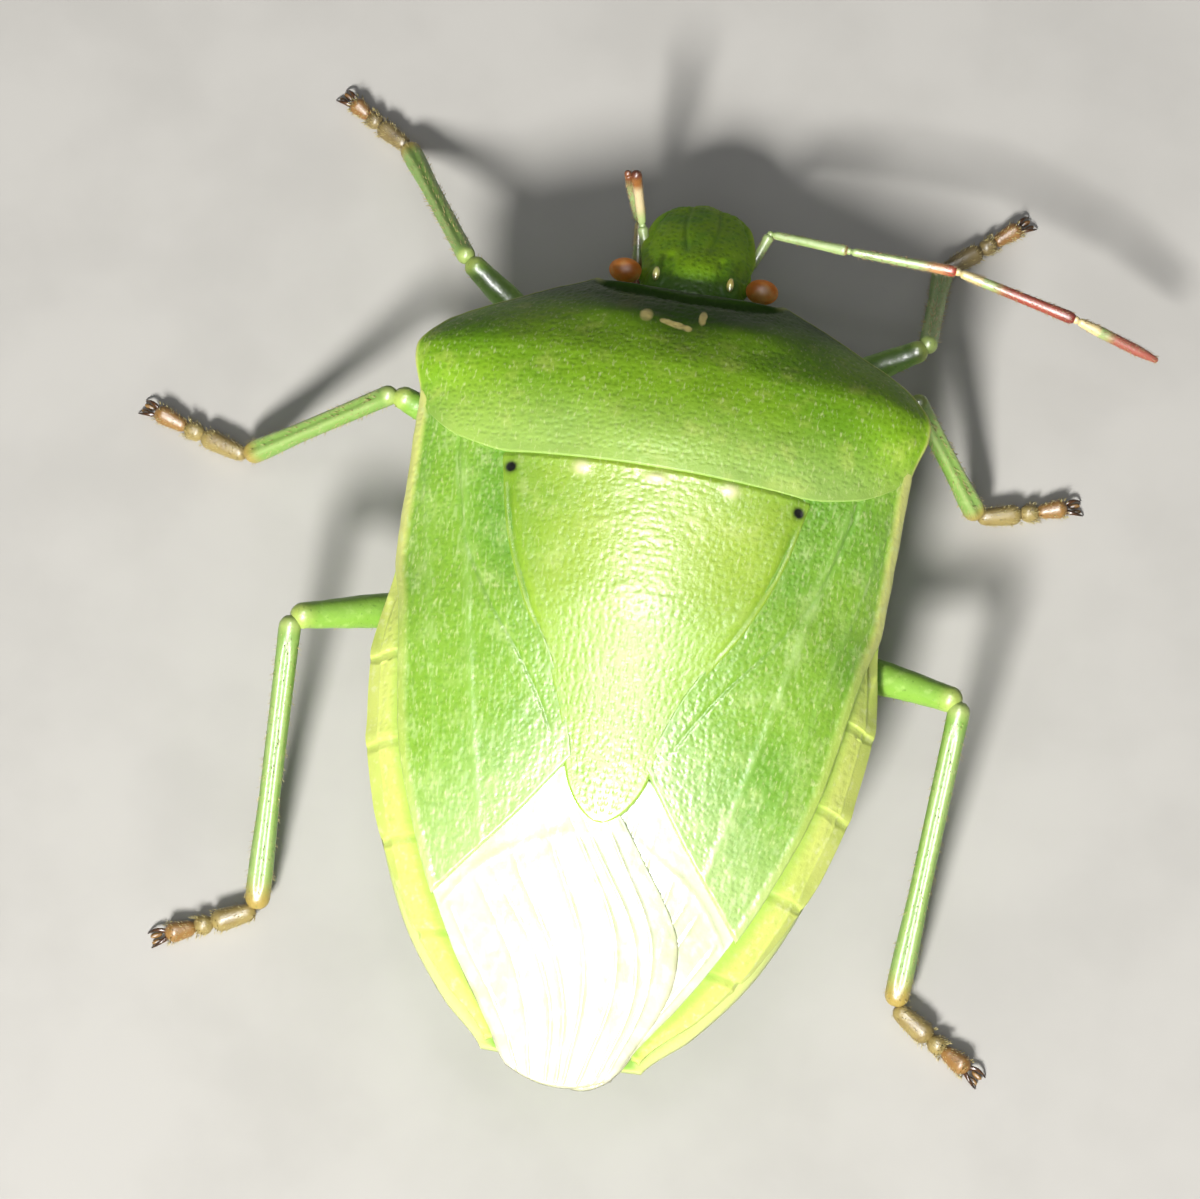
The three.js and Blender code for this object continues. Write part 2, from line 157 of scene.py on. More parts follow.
def along(stations, t):
    """Value at t of a smooth curve through (t, value) stations, without overshoot."""
    knots, values = np.array(stations, float).T
    t = np.clip(t, knots[0], knots[-1])
    width = np.diff(knots)
    slope = np.diff(values) / width
    before, after = slope[:-1], slope[1:]
    product = before * after
    total = np.where(product > 0, before + after, 1)
    inner = np.where(product > 0, 2 * product / total, 0)
    tangent = np.concatenate([slope[:1], inner, slope[-1:]])
    i = np.clip(np.searchsorted(knots, t, "right") - 1, 0, len(width) - 1)
    s = (t - knots[i]) / width[i]
    rise = s * s * (3 - 2 * s)
    bend = s * (1 - s) * width[i] * (tangent[i] * (1 - s) - tangent[i + 1] * s)
    return mix(values[i], values[i + 1], rise) + bend


def ease(t, amount):
    """Shares from 0 to 1 drawn towards both ends."""
    return mix(t, (1 - np.cos(math.pi * t)) / 2, amount)


def bands(y, ends, shift, width):
    """Hills across the body, each by shift behind an end."""
    return sum(hill(y - end - shift, width) for end in ends)


def unit(vectors):
    length = np.linalg.norm(vectors, axis=-1, keepdims=True)
    return vectors / np.maximum(length, 1e-9)


def to_world(points):
    return (np.asarray(points, float) + SHIFT) * MM


# Surfaces that all plates of the back share
def sideways(x, y):
    half_width = np.maximum(along(BODY_HALF_WIDTH, y), TAIL_DOME_HALF_WIDTH)
    return np.minimum(1, np.abs(x) / half_width)


def dome_height(share, y):
    """Height of the back at a share of the way from the middle to the side."""
    dome = (1 - share ** 2) ** DOME_POWER
    return mix(along(MARGIN_HEIGHT, y), along(CROWN_HEIGHT, y), dome)


def back_height(x, y):
    return dome_height(sideways(x, y), y)


def belly_height(x, y):
    s = sideways(x, y)
    rim = along(MARGIN_HEIGHT, y) - 0.46
    rounded = np.hypot(s ** along(BELLY_FULLNESS, y), KEEL_ROUNDING) - KEEL_ROUNDING
    share = rounded / (math.hypot(1, KEEL_ROUNDING) - KEEL_ROUNDING)
    return np.minimum(back_height(x, y) - 0.46, mix(along(KEEL_HEIGHT, y), rim, share))


# Fine relief
def pits(x, y, spacing, radius, seed):
    """1 in the middle of each small pit and 0 between the pits."""
    period = 128
    rng = np.random.default_rng(seed)
    shake = rng.uniform(-0.34, 0.34, (period, period, 2))
    size = rng.uniform(0.45, 1.25, (period, period)) * radius
    column = np.floor(x / spacing).astype(int)
    row = np.floor(y / spacing).astype(int)
    depth = np.zeros(np.shape(x))
    for across in (-1, 0, 1):
        for down in (-1, 0, 1):
            i, j = (column + across) % period, (row + down) % period
            centre_x = (column + across + 0.5 + shake[i, j, 0]) * spacing
            centre_y = (row + down + 0.5 + shake[i, j, 1]) * spacing
            share = np.hypot(x - centre_x, y - centre_y) / size[i, j]
            depth = np.maximum(depth, 1 - share ** 2)
    return np.clip(depth, 0, 1) ** 0.8


def swells(x, y, size, seed):
    """Soft random hills from -1 to 1, about `size` across."""
    period = 64
    table = np.random.default_rng(seed).uniform(-1, 1, (period, period))
    column, row = np.floor(x / size), np.floor(y / size)
    s, t = x / size - column, y / size - row
    s, t = s * s * (3 - 2 * s), t * t * (3 - 2 * t)
    i, j = column.astype(int) % period, row.astype(int) % period
    i2, j2 = (i + 1) % period, (j + 1) % period
    return mix(mix(table[i, j], table[i2, j], s), mix(table[i, j2], table[i2, j2], s), t)


# Meshes
def grid_faces(rows, columns, wrap=False):
    """Quads of a grid of points; wrap joins its last column to its first."""
    width = columns if wrap else columns + 1
    i, j = np.meshgrid(np.arange(rows), np.arange(columns), indexing="ij")
    k = (j + 1) % width
    quads = np.stack([i * width + j, i * width + k, (i + 1) * width + k, (i + 1) * width + j], -1)
    return quads.reshape(-1, 4)


def grid_normals(points, wrap=False):
    if wrap:
        across = np.roll(points, -1, 1) - np.roll(points, 1, 1)
    else:
        across = np.gradient(points, axis=1)
    return unit(np.cross(across, np.gradient(points, axis=0)))


def grid_border(rows, columns):
    """Border points of a grid in order round it, without repeating the first."""
    width = columns + 1
    across, down = np.arange(columns), np.arange(rows)
    return np.concatenate([
        across, down * width + columns, rows * width + columns - across, (rows - down) * width,
    ])


def edge_distance(points):
    """Distance of each grid point from the nearest side of the grid, over the surface."""
    def lengths(axis):
        steps = np.linalg.norm(np.diff(points, axis=axis), axis=-1)
        pad = [(0, 0), (0, 0)]
        pad[axis] = (1, 0)
        return np.cumsum(np.pad(steps, pad), axis=axis)
    across, down = lengths(1), lengths(0)
    return np.minimum.reduce([across, across[:, -1:] - across, down, down[-1:] - down])


def merge(parts):
    """One set of (points, faces, attributes) out of several."""
    points, faces, start = [], [], 0
    names = sorted({name for part in parts for name in part[2]})
    values = {name: [] for name in names}
    for part_points, part_faces, attributes in parts:
        points.append(part_points)
        faces.extend(quads + start for quads in part_faces)
        for name in names:
            values[name].append(attributes.get(name, np.zeros(len(part_points))))
        start += len(part_points)
    return np.concatenate(points), faces, {n: np.concatenate(v) for n, v in values.items()}


def show(name, data):
    """New object in the scene."""
    obj = bpy.data.objects.new(name, data)
    bpy.context.scene.collection.objects.link(obj)
    return obj


def add_piece(name, nodes, look, parts, uv=None):
    """A piece of the shown animal, standing for the named solids."""
    points, faces, attributes = merge(parts)
    mesh = bpy.data.meshes.new(name)
    mesh.vertices.add(len(points))
    mesh.vertices.foreach_set("co", to_world(points).ravel())
    corners = np.concatenate([f.ravel() for f in faces])
    sizes = np.concatenate([np.full(len(f), f.shape[1]) for f in faces])
    mesh.loops.add(len(corners))
    mesh.loops.foreach_set("vertex_index", corners.astype(np.int32))
    mesh.polygons.add(len(sizes))
    starts = np.concatenate([[0], np.cumsum(sizes)[:-1]])
    mesh.polygons.foreach_set("loop_start", starts.astype(np.int32))
    mesh.update(calc_edges=True)
    mesh.polygons.foreach_set("use_smooth", np.ones(len(sizes), bool))
    for key, values in attributes.items():
        layer = mesh.attributes.new(key, "FLOAT", "POINT")
        layer.data.foreach_set("value", values.astype(np.float32))
    if uv is not None:
        layer = mesh.uv_layers.new(name="OFBake")
        layer.data.foreach_set("uv", uv[corners].astype(np.float32).ravel())
    mesh.validate()
    mesh.materials.append(look.done(name))
    obj = show(name, mesh)
    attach(obj, "root")
    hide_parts(*nodes)


# Materials
def colour(code):
    """Linear colour out of a six-digit screen colour."""
    channels = [int(code[i:i + 2], 16) / 255 for i in (0, 2, 4)]
    linear = [c / 12.92 if c <= 0.04045 else ((c + 0.055) / 1.055) ** 2.4 for c in channels]
    return (*linear, 1)


class Look:
    """A procedural material whose colours are laid one over the other."""

    def __init__(self, base, roughness=0.4, specular=0.4, coat=0.0, subsurface=0.0):
        self.material = bpy.data.materials.new("look")
        self.material.use_nodes = True
        self.tree = self.material.node_tree
        self.shader = self.tree.nodes["Principled BSDF"].inputs
        for socket, value in (
            ("Roughness", roughness),
            ("Specular IOR Level", specular),
            ("Coat Weight", coat),
            ("Coat Roughness", 0.2),
            ("Subsurface Weight", subsurface),
            ("Subsurface Radius", (1, 1, 0.5)),
            ("Subsurface Scale", 0.25 * MM),
        ):
            self.shader[socket].default_value = value
        self.place = self.node("ShaderNodeTexCoord").outputs["Object"]
        self.top = colour(base)

    def node(self, kind, **inputs):
        """New node; each input is a number, a colour or another node's output."""
        node = self.tree.nodes.new(kind)
        for name, value in inputs.items():
            self.plug(value, node.inputs[name.replace("_", " ")])
        return node

    def plug(self, value, socket):
        if isinstance(value, bpy.types.NodeSocket):
            self.tree.links.new(value, socket)
        else:
            socket.default_value = value

    def noise(self, size, detail, stretch):
        scale = [1 / (MM * size * s) for s in stretch]
        place = self.node("ShaderNodeMapping", Vector=self.place, Scale=scale).outputs["Vector"]
        return self.node("ShaderNodeTexNoise", Vector=place, Scale=1, Detail=detail).outputs["Fac"]

    def attribute(self, name):
        node = self.node("ShaderNodeAttribute")
        node.attribute_name = name
        return node.outputs["Fac"]

    def between(self, value, low, high, weight):
        """0 where the value is low or below and the weight where it is high or above."""
        node = self.node("ShaderNodeMapRange", Value=value, From_Min=low, From_Max=high)
        self.plug(weight, node.inputs["To Max"])
        node.interpolation_type = "SMOOTHSTEP"
        return node.outputs["Result"]

    def lay(self, code, mask):
        """Lays a colour over what is there, where the mask is 1."""
        node = self.tree.nodes.new("ShaderNodeMix")
        node.data_type = "RGBA"
        for socket, value in (("Factor", mask), ("A", self.top), ("B", colour(code))):
            self.plug(value, node.inputs[socket])
        self.top = node.outputs["Result"]

    def spots(self, code, size, low, high, weight, detail=3, stretch=(1, 1, 1)):
        """Random spots about `size` millimetres across, drawn out by `stretch`."""
        self.lay(code, self.between(self.noise(size, detail, stretch), low, high, weight))

    def band(self, code, name, low, high, weight=1.0):
        self.lay(code, self.between(self.attribute(name), low, high, weight))

    def mark(self, code, name, weight=1.0):
        node = self.tree.nodes.new("ShaderNodeMath")
        node.operation = "MULTIPLY"
        self.plug(self.attribute(name), node.inputs[0])
        self.plug(weight, node.inputs[1])
        self.lay(code, node.outputs[0])

    def grain(self, size, depth, detail=2):
        noise = self.noise(size, detail, (1, 1, 1))
        node = self.node("ShaderNodeBump", Distance=depth * MM, Height=noise)
        self.plug(node.outputs["Normal"], self.shader["Normal"])

    def done(self, name):
        self.plug(self.top, self.shader["Base Color"])
        self.material.name = name
        return self.material


def shell_look(base, dark, light, pit, shade, margin="d9dd7e", specular=0.4, coat=0.14):
    """Shell of a plate: mottled green, darker in the pits and pale on the rims, with fine pale
    specks that are painted highlight sparkle and a painted shade mark.
    """
    look = Look(base, 0.36, specular, coat, 0.12)
    look.spots(dark, 1.7, 0.42, 0.68, 0.75)
    look.spots(light, 0.42, 0.5, 0.72, 0.6, 4)
    # Fine pale streaky specks: painted highlight sparkle, standing in for glints on the pits
    look.spots("dde6a4", 0.06, 0.54, 0.78, 0.6, 3, (0.7, 2, 1))
    look.band(pit, "pit", 0.15, 0.95, 0.34)
    # Painted shade: each plate's shade mask darkens its grooves, its edges beside other plates and
    # the slopes turned away from the light
    look.mark(shade, "shade")
    look.mark(margin, "pale")
    look.mark("0a0d06", "dot")
    look.grain(0.035, 0.004)
    return look


# Plates of the back
def eased(count):
    """Evenly eased shares from 0 to 1."""
    return ease(np.linspace(0, 1, count + 1), 0.4)


BOTTOM_STEP = 4


def plate(plan, columns, rows, relief, lift, thickness, roll=0.07, height=back_height):
    """Closed plate whose plan(u, v) gives x and y. relief gives the height of its details and
    a dictionary of marks for its material."""
    u, v = np.meshgrid(eased(columns), eased(rows))
    x, y = plan(u, v)
    base = np.stack([x, y, height(x, y)], -1)
    normal = grid_normals(base)
    inward = edge_distance(base)
    rise, marks = relief(x, y, u, v, inward)
    short = np.clip(roll - inward, 0, roll)
    rise = rise + lift - (roll - np.sqrt(roll ** 2 - short ** 2))
    top = base + normal * rise[..., None]
    coarse = slice(None, None, BOTTOM_STEP)
    thick = np.minimum(thickness, 0.08 + 0.6 * inward)[coarse, coarse]
    bottom = base[coarse, coarse] + normal[coarse, coarse] * (lift - roll)
    bottom = bottom - np.stack([0 * thick, 0 * thick, thick], -1)
    few_rows, few_columns = rows // BOTTOM_STEP, columns // BOTTOM_STEP
    start = top.shape[0] * top.shape[1]
    fine = grid_border(rows, columns).reshape(-1, BOTTOM_STEP)
    fine_next = np.roll(grid_border(rows, columns), -1).reshape(-1, BOTTOM_STEP)
    low = grid_border(few_rows, few_columns) + start
    low_next = np.roll(low, -1)
    half = BOTTOM_STEP // 2
    sides = [np.stack([fine_next[:, k], fine[:, k], low if k < half else low_next], -1)
             for k in range(BOTTOM_STEP)]
    sides.append(np.stack([fine[:, half], low, low_next], -1))
    points = np.concatenate([top.reshape(-1, 3), bottom.reshape(-1, 3)])
    faces = [grid_faces(rows, columns), grid_faces(few_rows, few_columns)[:, ::-1] + start, *sides]
    values = {
        name: np.concatenate([mark.ravel(), mark[coarse, coarse].ravel()])
        for name, mark in marks.items()
    }
    return points, faces, values


def pronotum():
    def plan(u, v):
        across = 2 * u - 1
        front = along(PRONOTUM_FRONT, np.abs(across) * PRONOTUM_FRONT[-1][0])
        rear = along(PRONOTUM_REAR, np.abs(across) * PRONOTUM_REAR[-1][0])
        y = mix(front, rear, v)
        return across * along(BODY_HALF_WIDTH, y), y

    def relief(x, y, u, v, inward):
        side = np.abs(x)
        callus = hill(np.hypot((side - 0.92) / 0.62, (y - 2.72) / 0.24), 1)
        behind_front = y - along(PRONOTUM_FRONT, side)
        collar = hill(behind_front - 0.2, 0.07) * step(1.6, 1.15, side)
        rim = hill(inward - 0.07, 0.06) * step(0.4, 0.9, side) * step(0.9, 0.75, v)
        hole = pits(x, y, 0.092, 0.036, 3) * (1 - 0.75 * callus) * step(0.08, 0.2, inward)
        rise = 0.05 * callus - 0.05 * collar + 0.025 * rim - 0.008 * hole
        rise = rise + 0.014 * swells(x, y, 0.6, 4) + 0.003 * swells(x, y, 0.12, 5)
        rise = rise - 0.012 * hill(y - 3.25, 0.25) * step(2.8, 1.8, side)
        rise = rise + 0.05 * hill(np.hypot(side - 3.35, y - 3.9), 0.35)
        ragged = 0.5 * swells(x, y, 0.08, 6)

        def painted_glint(at_x, at_y, half_x, half_y, lean=0.0):
            down = y - at_y + lean * (x - at_x)
            return hill(((x - at_x) / half_x) ** 2 + (down / half_y) ** 2 + ragged, 1)

        # Painted reflections: three small pale glints on the front of the pronotum
        marks = np.maximum.reduce([
            0.7 * painted_glint(0.55, 2.73, 0.11, 0.16),
            painted_glint(0.1, 2.84, 0.26, 0.075, 0.14),
            0.85 * painted_glint(-0.25, 2.6, 0.06, 0.17, 0.3),
        ])
        # Painted shade: the front slope, the collar groove, a soft fall towards the front and the
        # rear edge where the plate meets the scutellum are darkened
        front_slope = step(1.35, 0.5, behind_front + 0.14 * side)
        edge = step(0.14, 0.05, inward) * step(1.2, 1.5, side) * step(4.5, 4.3, y)
        before = 0.3 * step(4.6, 2.7, y)
        lip = 0.3 * step(0.05, 0, inward) * step(0.8, 0.95, v)
        return rise, {
            "pit": hole,
            "pale": 0.9 * edge,
            "mark": marks,
            "shade": np.minimum(0.3 * collar + 0.7 * front_slope + before + lip, 0.95),
            # Painted highlight: paler towards the rear edge, which faces the light
            "rear": step(3.9, 5.2, y),
        }

    look = shell_look("8cba2a", "6ba01f", "b4cc58", "5a8418", "214404", specular=0.1, coat=0.03)
    # Painted highlight towards the rear edge
    look.mark("c3d98a", "rear", 0.4)
    # Painted reflections: the small pale glints on the front
    look.band("ead98c", "mark", 0.25, 0.75, 0.9)
    add_piece(
        "pronotum_shell", ["pronotum"], look,
        [plate(plan, 380, 172, relief, 0.022, 0.34, roll=0.026)],
    )


def scutellum():
    start, tip = 5.08, SCUTELLUM_HALF_WIDTH[-1][0]

    def plan(u, v):
        y = mix(start, tip, v)
        return (2 * u - 1) * along(SCUTELLUM_HALF_WIDTH, y) * 1.01, y

    def relief(x, y, u, v, inward):
        side = np.abs(x)
        spots = np.maximum(
            hill(np.hypot(side - 1.08, (y - 5.46) * 1.15), 0.11),
            hill(np.hypot(x / 0.15, (y - 5.46) / 0.055), 1),
        )
        corner = hill(np.hypot(side - 2.08, y - 5.53), 0.07)
        hole = pits(x * 0.92, y, 0.095, 0.036, 8) * (1 - spots) * step(0.05, 0.14, inward)
        wrinkle = swells(x * 0.4 + 30, y + 0.05 * swells(x, y, 0.3, 9), 0.085, 10)
        frenum = hill(inward - 0.1, 0.045) * step(5.6, 6, y) * step(8.2, 7.4, y)
        rise = 0.02 * spots - 0.005 * hole + 0.0016 * wrinkle * (1 - spots) - 0.008 * corner
        rise = rise - 0.018 * frenum + 0.006 * swells(x, y, 0.5, 11)
        rise = rise - 0.04 * step(5.38, 5.26, y) - 0.025 * step(7.2, 8.4, y)
        rise = rise + 0.012 * hill(inward - 0.24, 0.1) * step(8, 7, y)
        return rise, {
            "pit": hole,
            "pale": spots,
            "tongue": step(6.6, 8.6, y + 0.5 * side),
            # Painted shade in the frenum groove and along the front of the sides, next to the
            # neighbouring plates
            "shade": 0.4 * frenum + 0.4 * hill(side - 2, 0.4) * step(7, 5.8, y),
            "dot": np.clip(2.2 * corner, 0, 1),
        }

    look = shell_look("a6c43c", "82b02c", "c6d974", "7ca02a", "5f8f1c", margin="f0ecb4")
    look.mark("8fbb3c", "tongue", 0.55)
    add_piece(
        "scutellum_shell", ["scutellum"], look,
        [plate(plan, 200, 260, relief, 0.018, 0.3, roll=0.04)],
    )


def wing_plan(side, inner, outer, front, rear):
    """Plan of a wing's plate between its inner and outer edges, functions of y, and its front
    and rear edges, functions of the share of the way out."""
    def plan(u, v):
        share = u if side > 0 else 1 - u
        none, whole = np.zeros(v.shape), np.ones(v.shape)
        y_in = mix(front(none), rear(none), v)
        y_out = mix(front(whole), rear(whole), v)
        return side * mix(inner(y_in), outer(y_out), share), mix(front(share), rear(share), v)
    return plan


def wing_edge(y):
    return along(WING_HALF_WIDTH, y)


def corium(side, label):
    tuck = 0.12
    front_inner, front_outer = SCUTELLUM_HALF_WIDTH[0][1], PRONOTUM_REAR[-1][0]
    plan = wing_plan(
        side,
        lambda y: along(SCUTELLUM_HALF_WIDTH, y) - tuck,
        wing_edge,
        lambda share: along(PRONOTUM_REAR, mix(front_inner, front_outer, share)) - 1.5 * tuck,
        lambda share: along(CORIUM_REAR, mix(CORIUM_REAR[0][0], CORIUM_REAR[-1][0], share)),
    )

    def relief(x, y, u, v, inward):
        out = side * x
        beside = out - along(SCUTELLUM_HALF_WIDTH, y)
        clavus = along([(4.6, 0.7), (6.5, 0.62), (8, 0.42), (9.6, 0.1)], y)
        suture = hill(beside - clavus, 0.035) * step(9.5, 9.1, y)
        vein_at = along([(4.6, 2.95), (6.9, 2.5), (8.9, 2.1), (11.4, 1.5)], y)
        vein = hill(out - vein_at, 0.06) * step(4.9, 5.6, y)
        second = hill(out - vein_at - 0.55, 0.05) * step(5, 6, y) * step(10.4, 9.4, y)
        to_edge = np.abs(wing_edge(y) - out)
        costa = step(0.18, 0.08, to_edge)
        hole = pits(x + 0.1 * y, y, 0.088, 0.034, 20 + side)
        hole = hole * step(0.06, 0.14, inward) * (1 - 0.7 * np.maximum(suture, vein))
        rise = -0.02 * suture + 0.014 * vein + 0.01 * second - 0.007 * hole
        rise = rise + 0.008 * swells(x, y, 0.45, 23) + 0.004 * swells(x * 2.4, y, 0.16, 24)
        rise = rise + 0.03 * costa
        fleck = step(0.1, 0.8, swells(x * 3.6 + 0.35 * y * side, y, 0.1, 25 + side))
        return rise, {
            "pit": hole,
            "pale": 0.95 * costa * (1 - 0.6 * step(6.6, 8, y)),
            # Painted shade in the claval suture and beside the front of the scutellum
            "shade": 0.22 * suture + 0.3 * step(8.5, 6, y) * hill(beside, 0.4),
            "fleck": fleck * (1 - hole) * step(0.08, 0.2, inward),
            "vein": np.maximum(vein, 0.7 * second),
            # Painted highlight: whitish glare towards the rear edge, by the membrane
            "haze": step(0.72, 1, v) * (0.6 + 0.4 * fleck),
        }

    look = shell_look("88b63a", "6da530", "b2d074", "6aa02e", "4c8a20")
    look.mark("c9e09c", "fleck", 0.34)
    look.mark("a6d070", "vein", 0.25)
    # Painted highlight: whitish glare towards the rear
    look.mark("e2efc0", "haze", 0.5)
    add_piece(
        f"corium_shell_{label}", [f"corium_{label}"], look,
        [plate(plan, 148, 300, relief, 0, 0.26, roll=0.05)],
    )


def membrane(side, label):
    # The left one lies over the right one and reaches far across it
    reach = [(10.1, 0.04), (10.9, 0.3), (12, 0.72), (13, 0.92), (14, 1)]
    under_corium = [(0, 9.75), (0.66, 9.75), (1.3, 10.42), (2.24, 11.48)]
    over = side > 0

    def inner(y):
        return -along(reach, y) * wing_edge(y) if over else -0.2 + 0 * y

    plan = wing_plan(
        side, inner, wing_edge,
        lambda share: along(under_corium, share * under_corium[-1][0]),
        lambda share: BODY_LENGTH - 0.22 * (2 * share - 1) ** 2 + 0 * share,
    )

    def relief(x, y, u, v, inward):
        share = u if over else 1 - u
        lines = np.zeros(x.shape)
        for k in range(8):
            at = 0.1 + 0.115 * k + 0.03 * np.sin(3.1 * v + 1.7 * k) + (0.5 - v) * 0.02 * k
            lines = np.maximum(lines, hill(share - at, 0.011) * step(0.1, 0.22, v))
        basal = hill(v - 0.16 - 0.05 * np.sin(6 * share), 0.018)
        lines = np.maximum(lines, 0.8 * basal) * step(0.03, 0.1, inward)
        rise = 0.022 * lines + 0.02 * swells(x, y, 0.4, 40 + side) + 0.006 * swells(x, y, 0.1, 42)
        return rise, {"vein": lines, "rim": step(0.1, 0.03, inward) * step(0.3, 0.6, v)}

    look = Look("dbe3c4", roughness=0.24, specular=0.6, coat=0.4, subsurface=0.1)
    look.spots("c3d6a2", 1.1, 0.4, 0.7, 0.55)
    look.spots("f4f6ea", 0.3, 0.5, 0.7, 0.6)
    look.mark("c8bf96", "vein", 0.45)
    look.mark("a89a6a", "rim", 0.5)
    look.grain(0.09, 0.008, 3)
    add_piece(
        f"membrane_film_{label}", [f"membrane_{label}"], look,
        [plate(plan, 140, 140, relief, -0.06 if over else -0.11, 0.06, roll=0.03)],
    )


def connexivum(side, label):
    tuck = 0.22

    def outer(y):
        toothed = bands(y, SEGMENT_ENDS, -0.14, 0.16) - bands(y, SEGMENT_ENDS, 0.02, 0.035)
        return along(BODY_HALF_WIDTH, y) - 0.03 + 0.02 * toothed

    plan = wing_plan(
        side, lambda y: wing_edge(y) - tuck, outer,
        lambda share: CONNEXIVUM_START + 0 * share,
        lambda share: CONNEXIVUM_END + 0.05 * share,
    )

    def height(x, y):
        return dome_height(np.minimum(np.abs(x) / outer(y), 0.995), y)

    def relief(x, y, u, v, inward):
        out = side * x
        joint = bands(y, SEGMENT_ENDS, 0, 0.028)
        hole = pits(x, y, 0.11, 0.04, 50 + side) * step(0.05, 0.12, inward) * (1 - joint)
        rise = -0.014 * joint - 0.006 * hole + 0.006 * swells(x, y, 0.3, 52)
        rise = rise + 0.02 * hill(inward - 0.06, 0.05)
        outward = (out - wing_edge(y)) / np.maximum(along(BODY_HALF_WIDTH, y) - wing_edge(y), 0.05)
        return rise, {
            "pit": hole,
            "green": 0.75 * step(0.6, 0.1, outward),
            "shade": 0.3 * bands(y, SEGMENT_ENDS, 0.01, 0.03),
        }

    look = Look("dbe777", roughness=0.38, coat=0.12, subsurface=0.12)
    look.spots("cbde68", 0.8, 0.45, 0.7, 0.6)
    look.spots("eff4b8", 0.12, 0.52, 0.75, 0.5)
    look.mark("9ac84a", "green")
    look.band("b9cc55", "pit", 0.2, 0.9, 0.3)
    look.mark("5f8c22", "shade")
    look.grain(0.04, 0.004)
    add_piece(
        f"connexivum_shell_{label}", [f"connexivum_{label}"], look,
        [plate(plan, 28, 280, relief, -0.15, 0.2, roll=0.06, height=height)],
    )


# Closed shapes round an axis
STEEP = 0.85


def closed_rings(rings, first, last, marks=()):
    """Rings of equal size, closed by a point at each end, where all marks are nothing."""
    count, sides = rings.shape[:2]
    points = np.concatenate([rings.reshape(-1, 3), [first], [last]])
    quads = grid_faces(count - 1, sides, wrap=True)
    i = np.arange(sides)
    k = (i + 1) % sides
    end = (count - 1) * sides
    start_fan = np.stack([k, i, np.full(sides, count * sides)], -1)
    end_fan = np.stack([end + i, end + k, np.full(sides, count * sides + 1)], -1)
    return points, [quads, start_fan, end_fan], {n: np.append(mark, [0, 0]) for n, mark in marks}


def square_to(forward, mostly):
    """Directions aside from and above an axis, which runs mostly one way."""
    reference = [1, 0, 0] if abs(mostly[2]) > STEEP else [0, 0, 1]
    aside = unit(np.cross(forward, reference))
    return aside, np.cross(aside, forward)


def tube(path, radius, sides, relief=None, floor=None):
    """Closed round limb. path gives points of its axis, radius the radii there, and relief(t,
    angle) a factor on the radius and marks; floor flattens its sole."""
    path = np.asarray(path, float)
    t = np.concatenate([[0], np.cumsum(np.linalg.norm(np.diff(path, axis=0), axis=1))])
    t = t / t[-1]
    forward = unit(np.gradient(path, axis=0))
    aside, up = square_to(forward, forward.mean(0))
    angle = np.arange(sides) * 2 * math.pi / sides
    grid_t, grid_angle = np.meshgrid(t, angle, indexing="ij")
    factor, marks = relief(grid_t, grid_angle) if relief else (np.ones(grid_t.shape), {})
    size = np.asarray(radius)[:, None] * factor
    rings = (path[:, None] + aside[:, None] * (size * np.cos(grid_angle))[..., None]
             + up[:, None] * (size * np.sin(grid_angle))[..., None])
    if floor is not None:
        rings[..., 2] = np.maximum(rings[..., 2], floor)
    points, faces, _ = closed_rings(rings[1:-1], path[0], path[-1])
    marks = {"along": grid_t, "top": np.sin(grid_angle), **marks}
    values = {n: np.append(m[1:-1], [m[0].mean(), m[-1].mean()]) for n, m in marks.items()}
    return points, faces, values


def limb(start, end, radii, rings=48, sides=28, bow=(0, 0, 0), **rest):
    """Tube between two joints, rounded off at both; radii are (share of length, radius)."""
    reach = np.subtract(end, start)
    t = eased(rings)
    path = start + reach * t[:, None] + bow * (4 * t * (1 - t))[:, None]
    length = np.linalg.norm(reach)
    radius = along(radii, t)
    from_end = np.minimum(t, 1 - t) * length
    cap = np.sqrt(1 - (1 - np.minimum(from_end / radius, 1)) ** 2)
    return tube(path, radius * cap, sides, **rest)


def ellipsoid(centre, radii, rings=14, sides=20, turn=0.0):
    """Small smooth knob; turn swings it round the vertical."""
    polar = np.linspace(0, math.pi, rings + 2)[1:-1, None]
    angle = np.arange(sides) * 2 * math.pi / sides
    shape = np.stack([
        np.sin(polar) * np.cos(angle), np.cos(polar) + 0 * angle, -np.sin(polar) * np.sin(angle),
    ], -1) * radii
    ends = np.array([[0, radii[1], 0], [0, -radii[1], 0]], float)
    spin = np.array(Matrix.Rotation(turn, 3, "Z"))
    shape, ends = shape @ spin.T + centre, ends @ spin.T + centre
    return closed_rings(shape, *ends)


